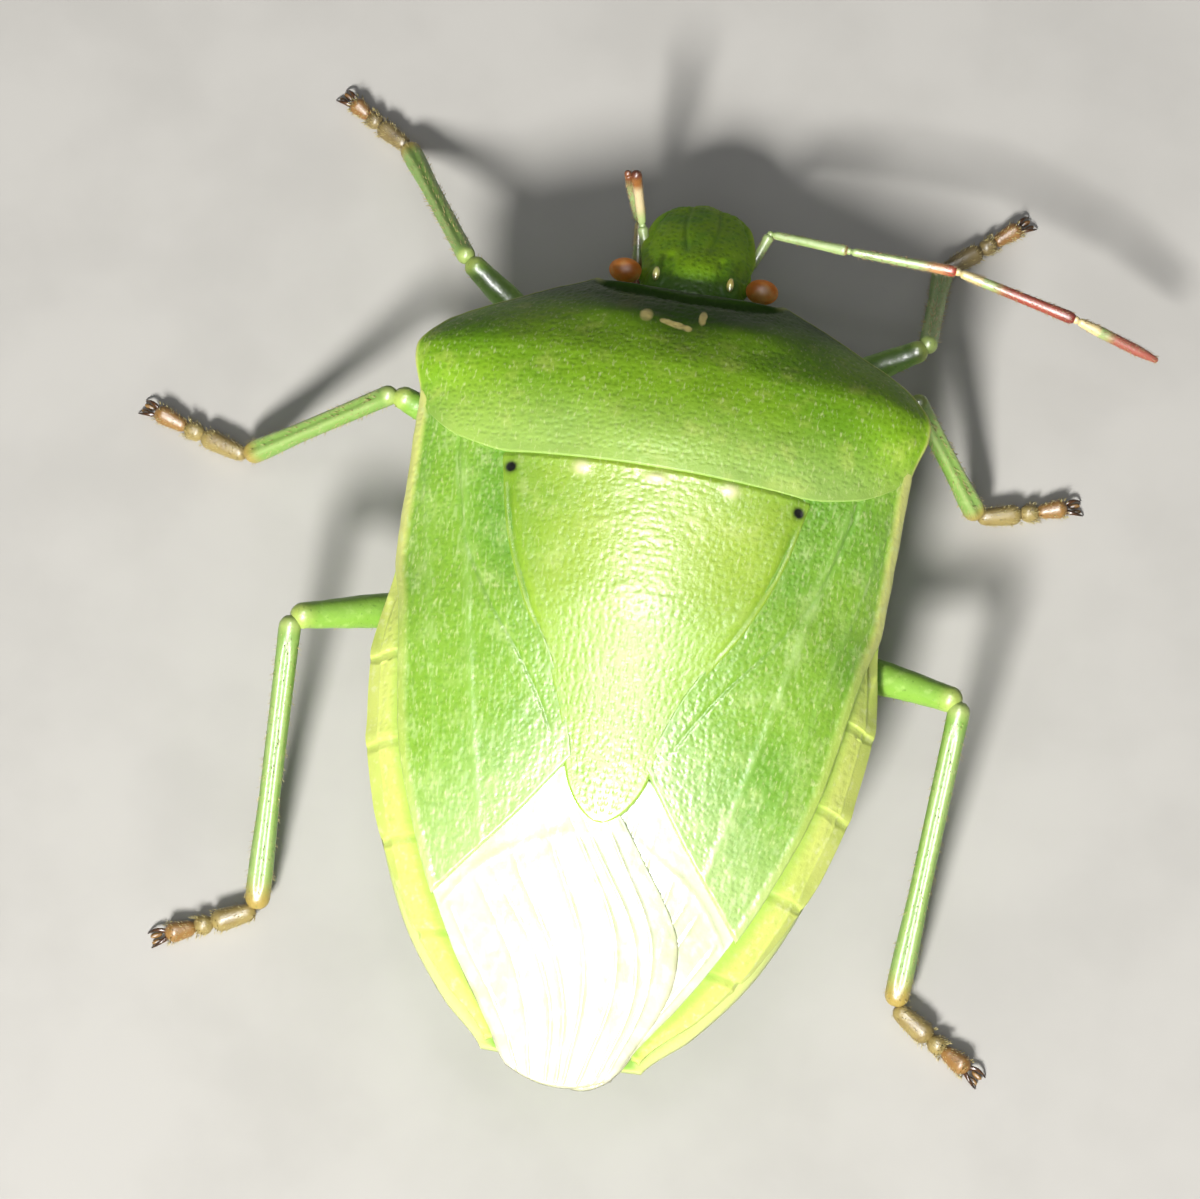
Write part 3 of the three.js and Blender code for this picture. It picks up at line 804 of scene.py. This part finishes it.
# Trunk under the plates
def trunk():
    rows, sides = 300, 360
    y = np.linspace(TRUNK_START, TRUNK_END, rows)[:, None]
    half_width = along(BODY_HALF_WIDTH, y) - TRUNK_INSET
    turn = np.linspace(0, 1, sides, endpoint=False)
    # The first quarter of the ring is the hidden top, and the rest is the underside
    top_share = np.clip(turn / 0.25, 0, 1)
    low_share = np.clip((turn - 0.25) / 0.75, 0, 1)
    across = np.where(turn < 0.25, 2 * top_share - 1, 1 - 2 * ease(low_share, 0.6))
    x = across * half_width
    y = y + 0 * x
    under = (turn >= 0.25) & (np.abs(across) < 0.999)
    z = np.where(under, belly_height(x, y), back_height(x, y) - 0.42)
    shape = np.stack([x, y, z], -1)
    normal = grid_normals(shape, wrap=True)
    out = np.abs(x)
    share = out / half_width
    segments = [7.1, *SEGMENT_ENDS, 13.05]
    bow = 0.25 * share ** 2
    behind = step(6.4, 6.9, y)
    joint = bands(y + bow, segments, 0, 0.04) * behind
    swell = bands(y + bow, segments, 0.3, 0.35) * behind
    pleura = [(3.75, 0.35), (5.35, 0.3), (6.75, -0.15)]
    seams = sum(hill(y - at - lean * (share - 0.5) * 2, 0.045) for at, lean in pleura)
    seams = seams * step(0.28, 0.4, share)
    sockets = np.zeros(x.shape)
    for hip, *_ in LEGS.values():
        reach = np.hypot(x - hip[0], y - hip[1])
        sockets = sockets + hill(reach - 0.42, 0.07) - 1.5 * hill(reach, 0.28)
    gland = hill(np.hypot((out - 2.25) / 0.55, (y - 5.5 - 0.1 * (out - 2.25)) / 0.06), 1)
    holes = [np.hypot(out - 0.8 * half_width, y - end + 0.55) for end in segments[1:]]
    breath = sum(hill(reach, 0.055) for reach in holes)
    ring = sum(hill(reach - 0.09, 0.035) for reach in holes)
    hole = pits(out * 1.25 + z * 0.6, y, 0.15, 0.055, 70) * (1 - np.clip(joint + seams, 0, 1))
    fine = 1 - 0.45 * step(6.8, 7.4, y)
    tailward = step(10, 12.5, y)
    margin = mix(0.5, 0.95, tailward) * step(mix(0.93, 0.8, tailward), 0.99, share)
    rise = -0.05 * joint + 0.03 * swell - 0.06 * seams + 0.06 * sockets + 0.07 * gland
    rise = rise - 0.05 * breath + 0.03 * ring - 0.022 * hole * fine + 0.012 * swells(x, y, 0.4, 71)
    rise = rise * under * step(0, 0.03, 1 - share) * step(2.12, 2.3, y)
    shape = shape + normal * rise[..., None]
    marks = {
        "pit": hole * under,
        "seam": np.clip(joint + seams, 0, 1) * under,
        "dot": np.clip(breath, 0, 1) * under,
        "pale": np.clip(margin + 0.6 * gland + 0.4 * ring, 0, 1),
        "keel": hill(share, 0.3) * under,
    }
    ends = [0, TRUNK_START - 0.02, 2.2], [0, TRUNK_END + 0.1, 2.05]
    look = Look("86b544", roughness=0.42, coat=0.15, subsurface=0.15)
    look.spots("75ab3c", 1.3, 0.42, 0.7, 0.7)
    look.spots("b4d47a", 0.15, 0.5, 0.72, 0.6, 4)
    look.mark("a9d070", "keel", 0.6)
    look.band("5c8f2a", "pit", 0.2, 0.95, 0.55)
    look.mark("5a8430", "seam", 0.7)
    look.mark("d8e08a", "pale")
    look.mark("20240f", "dot")
    look.grain(0.05, 0.005)
    body = closed_rings(shape, *ends, marks.items())
    add_piece("belly_skin", ["thorax", "abdomen"], look, [body])


# Head
def head_shape():
    """Points of the head's skin without its details, and the share of the way up at each."""
    polar = np.linspace(0, math.pi, 190)[1:-1, None]
    angle = np.linspace(0, 2 * math.pi, 300, endpoint=False)
    y = NECK_END * (1 - np.cos(polar)) / 2 + 0 * angle
    side = np.cos(angle) + 0 * y
    up = np.sin(angle) + 0 * y
    closed = np.minimum(1, 2.2 * np.sin(polar))
    top, bottom = along(HEAD_TOP, y), along(HEAD_BOTTOM, y)
    middle = mix(bottom, top, HEAD_WIDEST_AT)
    flare = np.where(up < 0, (1 - np.clip(-up, 0, 1) ** CHEEK_TAPER) ** 0.8, np.abs(side))
    x = np.sign(side) * along(HEAD_HALF_WIDTH, y) * flare * closed
    z = middle + np.where(up > 0, (top - middle) * up, (middle - bottom) * up) * closed
    return np.stack([x, y, z], -1), up


def head():
    shape, up = head_shape()
    # Angles run from the animal's left over the top, so the rings turn the other way round
    normal = -grid_normals(shape, wrap=True)
    x, y, z = shape[..., 0], shape[..., 1], shape[..., 2]
    out = np.abs(x)
    above = step(0, 0.25, up)
    below = step(0, -0.25, up)
    lobe = along([(0, 0.2), (0.5, 0.25), (1.1, 0.17)], y)
    suture = hill(out - lobe, 0.035) * step(1.25, 1.0, y) * above
    middle_lobe = (1 - step(lobe - 0.04, lobe + 0.02, out)) * step(1.15, 0.7, y) * above
    rim = hill(up - 0.1, 0.1) * step(0.15, 0.4, y) * step(1.2, 1, y)
    hollow = hill(up - 0.36, 0.14) * step(1.2, 0.95, y) * step(0.1, 0.4, y)
    eye = np.linalg.norm((np.stack([out, y, z], -1) - EYE_CENTRE) / EYE_RADII, axis=-1)
    socket = hill(eye - 1.12, 0.12)
    ocellus = np.hypot((out - OCELLUS[0]) / 0.1, (y - OCELLUS[1]) / 0.15)
    seat = hill(ocellus - 1, 0.35)
    wrap = np.arctan2(z - 2.1, x)
    hole = pits(np.where(up > 0, x, wrap * 0.9 + 9), y, 0.1, 0.038, 90)
    hole = hole * (1 - suture) * (1 - seat) * (1 - 0.8 * socket) * (1 - 0.6 * rim)
    buccula = hill(out - 0.17, 0.05) * below * step(0.3, 0.5, y) * step(1.6, 1.3, y)
    rise = -0.018 * suture + 0.012 * middle_lobe + 0.035 * rim - 0.03 * hollow + 0.03 * socket
    rise = rise - 0.009 * hole + 0.02 * seat * above + 0.07 * buccula
    groove = hill(out - 0.38, 0.06) * step(1.15, 1.3, y) * step(1.7, 1.5, y) * above
    rise = rise + 0.008 * swells(x, y, 0.3, 91) - 0.03 * groove
    shape = shape + normal * rise[..., None]
    marks = {
        "pit": hole,
        "seam": suture,
        "pale": np.clip(0.7 * rim + 0.5 * buccula + 0.3 * middle_lobe * step(0.3, 0, y), 0, 1),
        "rear": step(1.35, 1.9, y),
        "below": below,
    }
    marks = [(name, mark[:, ::-1]) for name, mark in marks.items()]
    look = Look("84b010", roughness=0.5, specular=0.12, subsurface=0.12)
    look.spots("5f9418", 0.5, 0.42, 0.68, 0.8)
    look.spots("98bb3c", 0.1, 0.52, 0.75, 0.55)
    look.mark("82b347", "below", 0.8)
    look.mark("3c7524", "rear", 0.7)
    look.band("466f10", "pit", 0.15, 0.9, 0.32)
    look.mark("4d7a10", "seam", 0.35)
    look.mark("a8be4c", "pale")
    look.grain(0.03, 0.004)
    parts = [closed_rings(shape[:, ::-1], [0, 0, 1.56], [0, NECK_END, 2.34], marks)]
    for side in (-1, 1):
        start, end = (side * 0.56, 1.24, 1.72), (side * 0.77, 1.03, 1.84)
        parts.append(limb(start, end, [(0, 0.2), (0.6, 0.17), (1, 0.13)], 20, 24))
    add_piece("head_skin", ["head"], look, parts)


def sphere(subdivisions):
    """Points and triangles of an even ball."""
    mesh = bmesh.new()
    bmesh.ops.create_icosphere(mesh, subdivisions=subdivisions, radius=1)
    points = np.array([v.co for v in mesh.verts])
    triangles = np.array([[v.index for v in face.verts] for face in mesh.faces])
    mesh.free()
    return points, triangles


def eye(side, label):
    """Compound eye: every facet is a small dome."""
    points, triangles = sphere(7)
    centres, _ = sphere(5)
    tree = KDTree(len(centres))
    for i, centre in enumerate(centres):
        tree.insert(centre, i)
    tree.balance()
    gap = np.array([tree.find(p)[2] for p in points])
    dome = np.clip(1 - (gap / 0.042) ** 2, 0, 1)
    points = points * (1 + 0.018 * dome[:, None]) * EYE_RADII
    points = points * [side, 1, 1] + np.array(EYE_CENTRE) * [side, 1, 1]
    points[:, 0] = side * np.maximum(EYE_INNER_FACE - 0.06, side * points[:, 0])
    if side < 0:
        triangles = triangles[:, ::-1]
    look = Look("f08c34", roughness=0.36, specular=0.14, subsurface=0.1)
    # Pale spots: painted highlights on the eye
    look.spots("f6c47c", 0.2, 0.4, 0.7, 0.55, 2)
    look.band("8a3c1a", "lower", 0.3, 0.95, 0.85)
    look.band("5a220e", "facet", 0.4, 0.05, 0.3)
    lower = np.clip((EYE_CENTRE[2] + 0.06 - points[:, 2]) / 0.3, 0, 1)
    add_piece(
        f"eye_facets_{label}", [f"eye_{label}"], look,
        [(points, [triangles], {"facet": dome, "lower": lower})],
    )


def ocelli():
    radii = (0.055, 0.11, 0.06)
    parts = [ellipsoid((side * OCELLUS[0], *OCELLUS[1:]), radii, 16, 24) for side in (-1, 1)]
    look = Look("cfcf7c", roughness=0.15, coat=0.8, subsurface=0.2)
    look.spots("b89a4a", 0.12, 0.5, 0.62, 0.7, 2)
    add_piece("ocelli_domes", ["head"], look, parts)


def beak_relief(t, angle):
    """Furrow along the underside."""
    return 1 - 0.14 * hill(angle - 1.5 * math.pi, 0.3), {}


def beak():
    joints = [(0, 0.42, 1.12), (0, 1.5, 0.96), (0, 2.9, 0.84), (0, 4.5, 0.72), (0, 5.85, 0.64)]
    radii = [0.13, 0.115, 0.1, 0.085, 0.03]
    parts = []
    for i, radius in enumerate(radii[:-1]):
        stations = [(0, radius * 1.08), (0.5, radius), (1, radii[i + 1] * 1.1)]
        parts.append(limb(joints[i], joints[i + 1], stations, 28, 24, relief=beak_relief))
    parts.append(limb((0, 0.3, 1.5), (0, 0.5, 1.05), [(0, 0.16), (1, 0.12)], 20, 24))
    look = Look("86a64a", roughness=0.4, coat=0.2)
    look.spots("6b7f32", 0.2, 0.45, 0.7, 0.7)
    look.band("3b2a14", "along", 0.9, 1, 0.6)
    look.grain(0.05, 0.004)
    add_piece("beak_sheath", ["beak"], look, parts)


# Fine hairs, each a thin bent spike of solid mesh
HAIR_SIDES = (0, 1, 4, 3), (1, 2, 5, 4), (2, 0, 3, 5)
HAIR_CAPS = (3, 4, 6), (4, 5, 6), (5, 3, 6), (2, 1, 0)
HAIR_PATCH = 0.003 * np.array([
    (0, 0), (0.5, 0.2), (1, 0), (0.1, 0.5), (0.5, 0.6), (0.9, 0.5), (0.5, 1),
])


def limb_hairs(start, end, radii, count, length, seed, home, lean=0.8, below=0.0):
    """Hairs round a straight limb; home is its strip of the map, and below favours the sole."""
    rng = np.random.default_rng(seed)
    reach = np.subtract(end, start)
    forward = unit(reach)
    aside, up = square_to(forward, forward)
    t = rng.uniform(0.05, 0.97, count)
    angle = rng.uniform(0, 2 * math.pi, count)
    sole = rng.uniform(size=count) < below
    angle = np.where(sole, rng.normal(-math.pi / 2, 0.5, count), angle)
    outward = aside * np.cos(angle)[:, None] + up * np.sin(angle)[:, None]
    depth = 0.93 * along(radii, t)
    roots = start + reach * t[:, None] + outward * depth[:, None]
    direction = outward + forward * lean + rng.normal(0, 0.16, (count, 3))
    sizes = length * rng.uniform(0.65, 1.15, count)
    round_share = (angle % (2 * math.pi)) / (2 * math.pi)
    homes = np.stack([mix(*home, round_share), 0.01 + 0.97 * t], -1)
    return roots, direction, sizes, homes


def add_hairs(name, nodes, slot, groups, thickness, seed, base, tip, droop=0.25):
    """Joined spikes, each with a small map patch at its root's place on the limb's unwrap."""
    roots, directions, lengths, homes = (np.concatenate(column) for column in zip(*groups))
    rng = np.random.default_rng(seed)
    count, corners = len(roots), len(HAIR_PATCH)
    forward = unit(directions)
    aside = unit(np.cross(forward, rng.normal(size=(count, 3))))
    other = np.cross(forward, aside)
    reach = forward * lengths[:, None]
    sag = [0, 0, -droop] * lengths[:, None]
    rings = []
    for share, size in ((0, thickness), (0.5, thickness * 0.7)):
        for turn in (0, 2 * math.pi / 3, 4 * math.pi / 3):
            outward = aside * math.cos(turn) + other * math.sin(turn)
            rings.append(roots + reach * share + sag * share ** 2 + outward * size)
    rings.append(roots + reach + sag)
    start = (np.arange(count) * corners)[:, None]
    faces = [np.concatenate([start + face for face in kind]) for kind in (HAIR_SIDES, HAIR_CAPS)]
    marks = {
        "tone": np.repeat(rng.uniform(0, 1, count), corners),
        "tip": np.tile([0, 0, 0, 0.5, 0.5, 0.5, 1], count),
    }
    look = Look(base, roughness=0.45)
    look.band(tip, "tip", 0.1, 0.9, 0.8)
    look.band("8a6a34", "tone", 0.7, 1, 0.5)
    uv = (homes[:, None] + HAIR_PATCH).reshape(-1, 2)
    add_piece(name, nodes, look, [(np.stack(rings, 1).reshape(-1, 3), faces, marks)], uv)


# Antennae
def antenna_look(stations):
    """Segment colours as (colour, where it starts and where it is full) over pale green."""
    look = Look("a7bd7c", 0.42, coat=0.15, subsurface=0.1)
    look.spots("86a55a", 0.3, 0.45, 0.7, 0.6)
    for code, low, high in stations:
        look.band(code, "along", low, high)
    look.spots("e2dcae", 0.05, 0.6, 0.8, 0.3, 2)
    look.grain(0.03, 0.005)
    return look


ANTENNA_COLOURS = {
    1: [],
    2: [("9a5a34", 0.93, 1)],
    "elbow": [("d3c096", 0.05, 0.4), ("94602f", 0.62, 0.8), ("63321e", 0.84, 0.97)],
    3: [("c08a5c", 0.62, 0.8), ("a8402c", 0.82, 0.97)],
    "folded": [("7c4a2c", 0.4, 0)],
    4: [("d6c58c", 0.22, 0.18), ("9c4634", 0.25, 0.42), ("7e3226", 0.8, 1)],
    5: [("dcc890", 0.3, 0.24), ("a05444", 0.28, 0.5)],
}


def antenna(label, runs):
    segments = [pair for joints in runs for pair in zip(joints, joints[1:])]
    groups = []
    for number, (start, end) in enumerate(segments, 1):
        length = np.linalg.norm(np.subtract(end, start))
        begin = np.add(start, np.subtract(end, start) / length * 0.03)
        size = ANTENNA_RADIUS * (1.12 if number >= 4 else 1)
        radii = [(0, size * 0.78), (0.12, size * 0.86), (0.75, size), (0.93, size * 1.1), (1, size)]
        if number == 5:
            radii = [(0, size * 0.72), (0.3, size), (0.7, size * 0.98), (1, size * 0.5)]
        collar = ellipsoid(start, (size * 0.72,) * 3, 10, 16)
        collar[2]["along"] = np.zeros(len(collar[0]))
        tone = {2: "elbow", 3: "folded"}.get(number, number) if label == "left" else number
        add_piece(
            f"antenna_skin_{label}_{number}", [f"antenna_{label}_{number}"],
            antenna_look(ANTENNA_COLOURS[tone]), [limb(begin, end, radii, 56, 22), collar],
        )
        density, reach = (190, 0.06) if number > 2 else (90, 0.045)
        home = ((number - 1) / 5 + 0.01, number / 5 - 0.01)
        groups.append(
            limb_hairs(begin, end, radii, int(length * density), reach, 100 + number, home, 1.1)
        )
    nodes = [f"antenna_{label}_{k}" for k in range(1, 6)]
    add_hairs(f"antenna_hairs_{label}", nodes, "antenna_red", groups, 0.0045, 7, "a88a62", "cdbb8e")


# Legs
def leg_look(base, light, bends=(), ridge=0.0):
    look = Look(base, coat=0.12, subsurface=0.12)
    look.spots("75a436", 0.9, 0.42, 0.7, 0.5)
    look.spots(light, 0.14, 0.5, 0.75, 0.55)
    if ridge:
        look.mark("dfe3ae", "ridge", ridge)
    for code, low, high in bends:
        look.band(code, "along", low, high)
    look.spots("4a6f1e", 0.06, 0.62, 0.78, 0.5, 2)
    look.grain(0.05, 0.006, 3)
    return look


def round_hill(angle, middle, width):
    """A hill round a limb."""
    return hill(np.angle(np.exp(1j * (angle - middle))), width)


def tibia_relief(t, angle):
    """Three-edged shank with a furrow along its outer face."""
    top = math.pi / 2
    furrow = round_hill(angle, top, 0.3)
    edges = round_hill(angle, top + 0.62, 0.28) + round_hill(angle, top - 0.62, 0.28)
    below = round_hill(angle, -top, 0.5)
    shaft = step(0.04, 0.14, t) * step(0.98, 0.9, t)
    factor = 1 + shaft * (-0.13 * furrow + 0.06 * edges + 0.05 * below)
    return factor, {"ridge": np.clip(edges * shaft, 0, 1)}


def femur_relief(t, angle):
    return 1 + 0.03 * swells(t * 30, angle * 1.2, 1, 130), {}


def claws_and_pads(toe, heading):
    """Two curved claws that end at the toe, and the pads between them."""
    aside = np.array([-heading[1], heading[0], 0])
    facing = math.atan2(heading[1], heading[0]) - math.pi / 2
    t = np.linspace(0, 1, 22)[:, None]
    arch = [0, 0, 1] * (0.07 * np.sin(t * math.pi) - 0.115 * t)
    radius = 0.034 * (1 - t[:, 0]) ** 0.7 + 0.005
    radius[0] = radius[-1] = 0
    claws, pads = [], []
    for side in (-1, 1):
        root = toe - heading * 0.3 + aside * side * 0.045 + [0, 0, 0.13]
        path = root + heading * 0.28 * t + aside * side * (0.07 * np.sin(t * 1.9)) + arch
        claws.append(tube(path, radius, 14))
        centre = toe - heading * 0.14 + aside * side * 0.05 + [0, 0, 0.05]
        pad = ellipsoid(centre, (0.04, 0.09, 0.035), 10, 14, facing)
        pad[2]["along"] = np.full(len(pad[0]), 0.4)
        pad[2]["joint"] = np.full(len(pad[0]), PAD_JOINT)
        pads.append(pad)
    return claws, pads


COXA_RADII = [(0, 0.3), (0.6, 0.3), (1, 0.24)]
TROCHANTER_RADII = [(0, 0.2), (0.5, 0.22), (1, 0.19)]
FEMUR_RADII = [(0, 0.15), (0.25, 0.235), (0.6, 0.255), (0.88, 0.2), (0.96, 0.19), (1, 0.17)]
TIBIA_RADII = [(0, 0.15), (0.05, 0.165), (0.12, 0.16), (0.6, 0.155), (0.9, 0.185), (1, 0.18)]
FOOT_RADII = [
    [(0, 0.11), (0.3, 0.145), (0.85, 0.17), (1, 0.15)],
    [(0, 0.1), (0.4, 0.145), (1, 0.15)],
    [(0, 0.1), (0.25, 0.12), (0.8, 0.155), (1, 0.14)],
]
FOOT_HEIGHTS = [0.26, 0.17, 0.155, 0.17]
SOLE_HEIGHT = 0.025
SHANK_END_HEIGHT = 0.3
CLAW_LENGTH = 0.26
PAD_JOINT = 1.2


def foot_look(fore):
    ground, mottle = ("7f6f45", "655430") if fore else ("978650", "7b6739")
    look = Look(ground, 0.42, coat=0.1, subsurface=0.1)
    look.spots(mottle, 0.3, 0.45, 0.7, 0.8)
    look.band("d9c98e", "top", 0.1, -0.7, 0.75)
    look.band("8e5f2a", "joint", 0.7, 1, 0.7)
    look.band("55361a", "joint", 1.1, 1.4, 0.8)
    look.band("6b5426", "along", 0.06, 0, 0.7)
    look.grain(0.04, 0.006, 3)
    return look


def claw_look():
    look = Look("4a2e18", 0.3, coat=0.2)
    look.band("1f140c", "along", 0.3, 0.8, 0.9)
    look.spots("7a522a", 0.05, 0.55, 0.75, 0.5, 2)
    return look


def leg(label, joints):
    hip, knee, ankle, toe = (np.array(p, float) for p in joints)
    girth = LEG_GIRTH[label.split("_")[0]]
    side = math.copysign(1, hip[0])
    thigh, shank = unit(knee - hip), unit(ankle - knee)

    def scaled(radii, factor=girth):
        return [(t, r * factor) for t, r in radii]

    def add(piece, part, look, shapes):
        add_piece(f"leg_{label}_{piece}", [f"leg_{label}_{part}"], look, shapes)

    coxa = limb(hip + [-side * 0.3, 0, 0.14], hip + [side * 0.05, 0, 0], COXA_RADII, 30, 32)
    trochanter = limb(hip - thigh * 0.05, hip + thigh * 0.42, TROCHANTER_RADII, 24, 28)
    add("coxa_skin", "coxa", leg_look("7fb13e", "a9ca6e"), [coxa, trochanter])

    femur_start, femur_radii = hip + thigh * 0.3, scaled(FEMUR_RADII)
    femur = limb(femur_start, knee, femur_radii, 90, 40, (0, 0, 0.06), relief=femur_relief)
    look = leg_look("84b042", "a9ca6e", [("a9be5c", 0.9, 0.985)])
    add("femur_skin", "femur", look, [femur])

    tibia_end, tibia_radii = ankle * [1, 1, 0] + [0, 0, SHANK_END_HEIGHT], scaled(TIBIA_RADII)
    tibia = limb(knee - shank * 0.02, tibia_end, tibia_radii, 110, 48, relief=tibia_relief)
    look = leg_look("7ea24c", "9cb86c", [("a3b866", 0.07, 0.02), ("a8924a", 0.86, 0.97)], 0.16)
    add("tibia_skin", "tibia", look, [tibia])

    heading = unit((toe - ankle) * [1, 1, 0])
    reach = np.linalg.norm((toe - ankle)[:2])
    stops = [0, 0.42, 0.58, 1 - CLAW_LENGTH / reach]
    level = ankle * [1, 1, 0]
    spots = [level + heading * reach * s + [0, 0, h] for s, h in zip(stops, FOOT_HEIGHTS)]
    foot_radii = [scaled(radii) for radii in FOOT_RADII]
    claws, parts = claws_and_pads(toe, heading)
    for i, radii in enumerate(foot_radii):
        overlap = heading * (0.05 if i else 0)
        part = limb(spots[i] - overlap, spots[i + 1], radii, 40, 32, floor=SOLE_HEIGHT)
        part[2]["joint"] = np.full(len(part[0]), i / 2)
        parts.append(part)
    add("tarsus_skin", "tarsus", foot_look("fore" in label), parts)
    add("claws_horn", "tarsus", claw_look(), claws)

    seed = 200 + list(LEGS).index(label) * 10
    groups = [
        limb_hairs(femur_start, knee, femur_radii, 130, 0.07, seed, (0.01, 0.19)),
        limb_hairs(knee, tibia_end, scaled(tibia_radii, 0.97), 380, 0.09, seed + 1, (0.21, 0.39)),
    ]
    for i, radii in enumerate(foot_radii):
        home = (0.41 + 0.2 * i, 0.59 + 0.2 * i)
        groups.append(
            limb_hairs(spots[i], spots[i + 1], radii, 220, 0.075, seed + 2 + i, home, below=0.45)
        )
    for roots, direction, sizes, _ in groups:
        # Hairs that would go through the floor are cut short
        tips = roots + unit(direction) * sizes[:, None]
        short = np.clip(roots[:, 2] / np.maximum(roots[:, 2] - tips[:, 2], 1e-6), 0.05, 1)
        sizes[:] = np.where(tips[:, 2] < 0.01, sizes * short * 0.7, sizes)
        roots[:, 2] = np.maximum(roots[:, 2], 0.03)
    nodes = [f"leg_{label}_{part}" for part in ("femur", "tibia", "tarsus")]
    colours = "a89a5e", "d9cd96"
    add_hairs(f"leg_{label}_hairs", nodes, "foot_brown", groups, 0.0055, seed + 9, *colours, 0.05)


# Floor, lights and camera
def aim(obj, azimuth, elevation, distance, roll=0.0):
    """Stands a lamp or the camera round the target, turned to it."""
    turn = Matrix.Identity(3)
    for degrees, axis in ((azimuth, "Z"), (90 - elevation, "X"), (roll, "Z")):
        turn = turn @ Matrix.Rotation(math.radians(degrees), 3, axis)
    place = Vector(to_world(CAMERA_TARGET)) + turn.col[2] * distance * MM
    obj.matrix_world = Matrix.Translation(place) @ turn.to_4x4()


def area(name, azimuth, elevation, distance, size, power, tall=1):
    lamp = show(name, bpy.data.lights.new(name, "AREA"))
    lamp.data.shape = "ELLIPSE"
    lamp.data.size = size * MM
    lamp.data.size_y = size * tall * MM
    lamp.data.energy = power
    aim(lamp, azimuth, elevation, distance)
    return lamp


FLOOR_HALF = 150 * MM


def studio():
    mesh = bpy.data.meshes.new("floor")
    corners = [(x * FLOOR_HALF, y * FLOOR_HALF, 0) for x, y in ((-1, -1), (1, -1), (1, 1), (-1, 1))]
    mesh.from_pydata(corners, [], [(0, 1, 2, 3)])
    look = Look("bcbab6", roughness=0.7, specular=0.2)
    look.spots("b2b0ac", 2.5, 0.35, 0.7, 0.7, 4)
    mesh.materials.append(look.done("floor_paint"))
    show("floor", mesh)

    area("key", 171.787, 41, 150, 30, 0.4).data.color = (1, 0.985, 0.95)
    area("sheen", 0, 82, 170, 30, 0.32).visible_diffuse = False
    area("glare", 180, 64, 170, 17, 0.9, 5).visible_diffuse = False
    area("fill", 168.69, 75, 200, 160, 0.03)
    scene = bpy.context.scene
    scene.world = bpy.data.worlds.new("studio")
    scene.world.use_nodes = True
    background = scene.world.node_tree.nodes["Background"].inputs
    background["Color"].default_value = (1, 1, 1, 1)
    background["Strength"].default_value = 0.11
    scene.view_settings.view_transform = "Standard"

    scene.camera = show("camera", bpy.data.cameras.new("camera"))
    scene.camera.data.lens = CAMERA_LENS
    scene.camera.data.sensor_width = 36
    scene.camera.data.clip_start = 10 * MM
    scene.camera.data.clip_end = 1000 * MM
    aim(scene.camera, CAMERA_AZIMUTH, CAMERA_ELEVATION, CAMERA_DISTANCE, CAMERA_ROLL)


pronotum()
scutellum()
for side, label in ((1, "left"), (-1, "right")):
    corium(side, label)
    membrane(side, label)
    connexivum(side, label)
    eye(side, label)
trunk()
head()
ocelli()
beak()
for label, runs in ANTENNAE.items():
    antenna(label, runs)
for label, joints in LEGS.items():
    leg(label, joints)
studio()
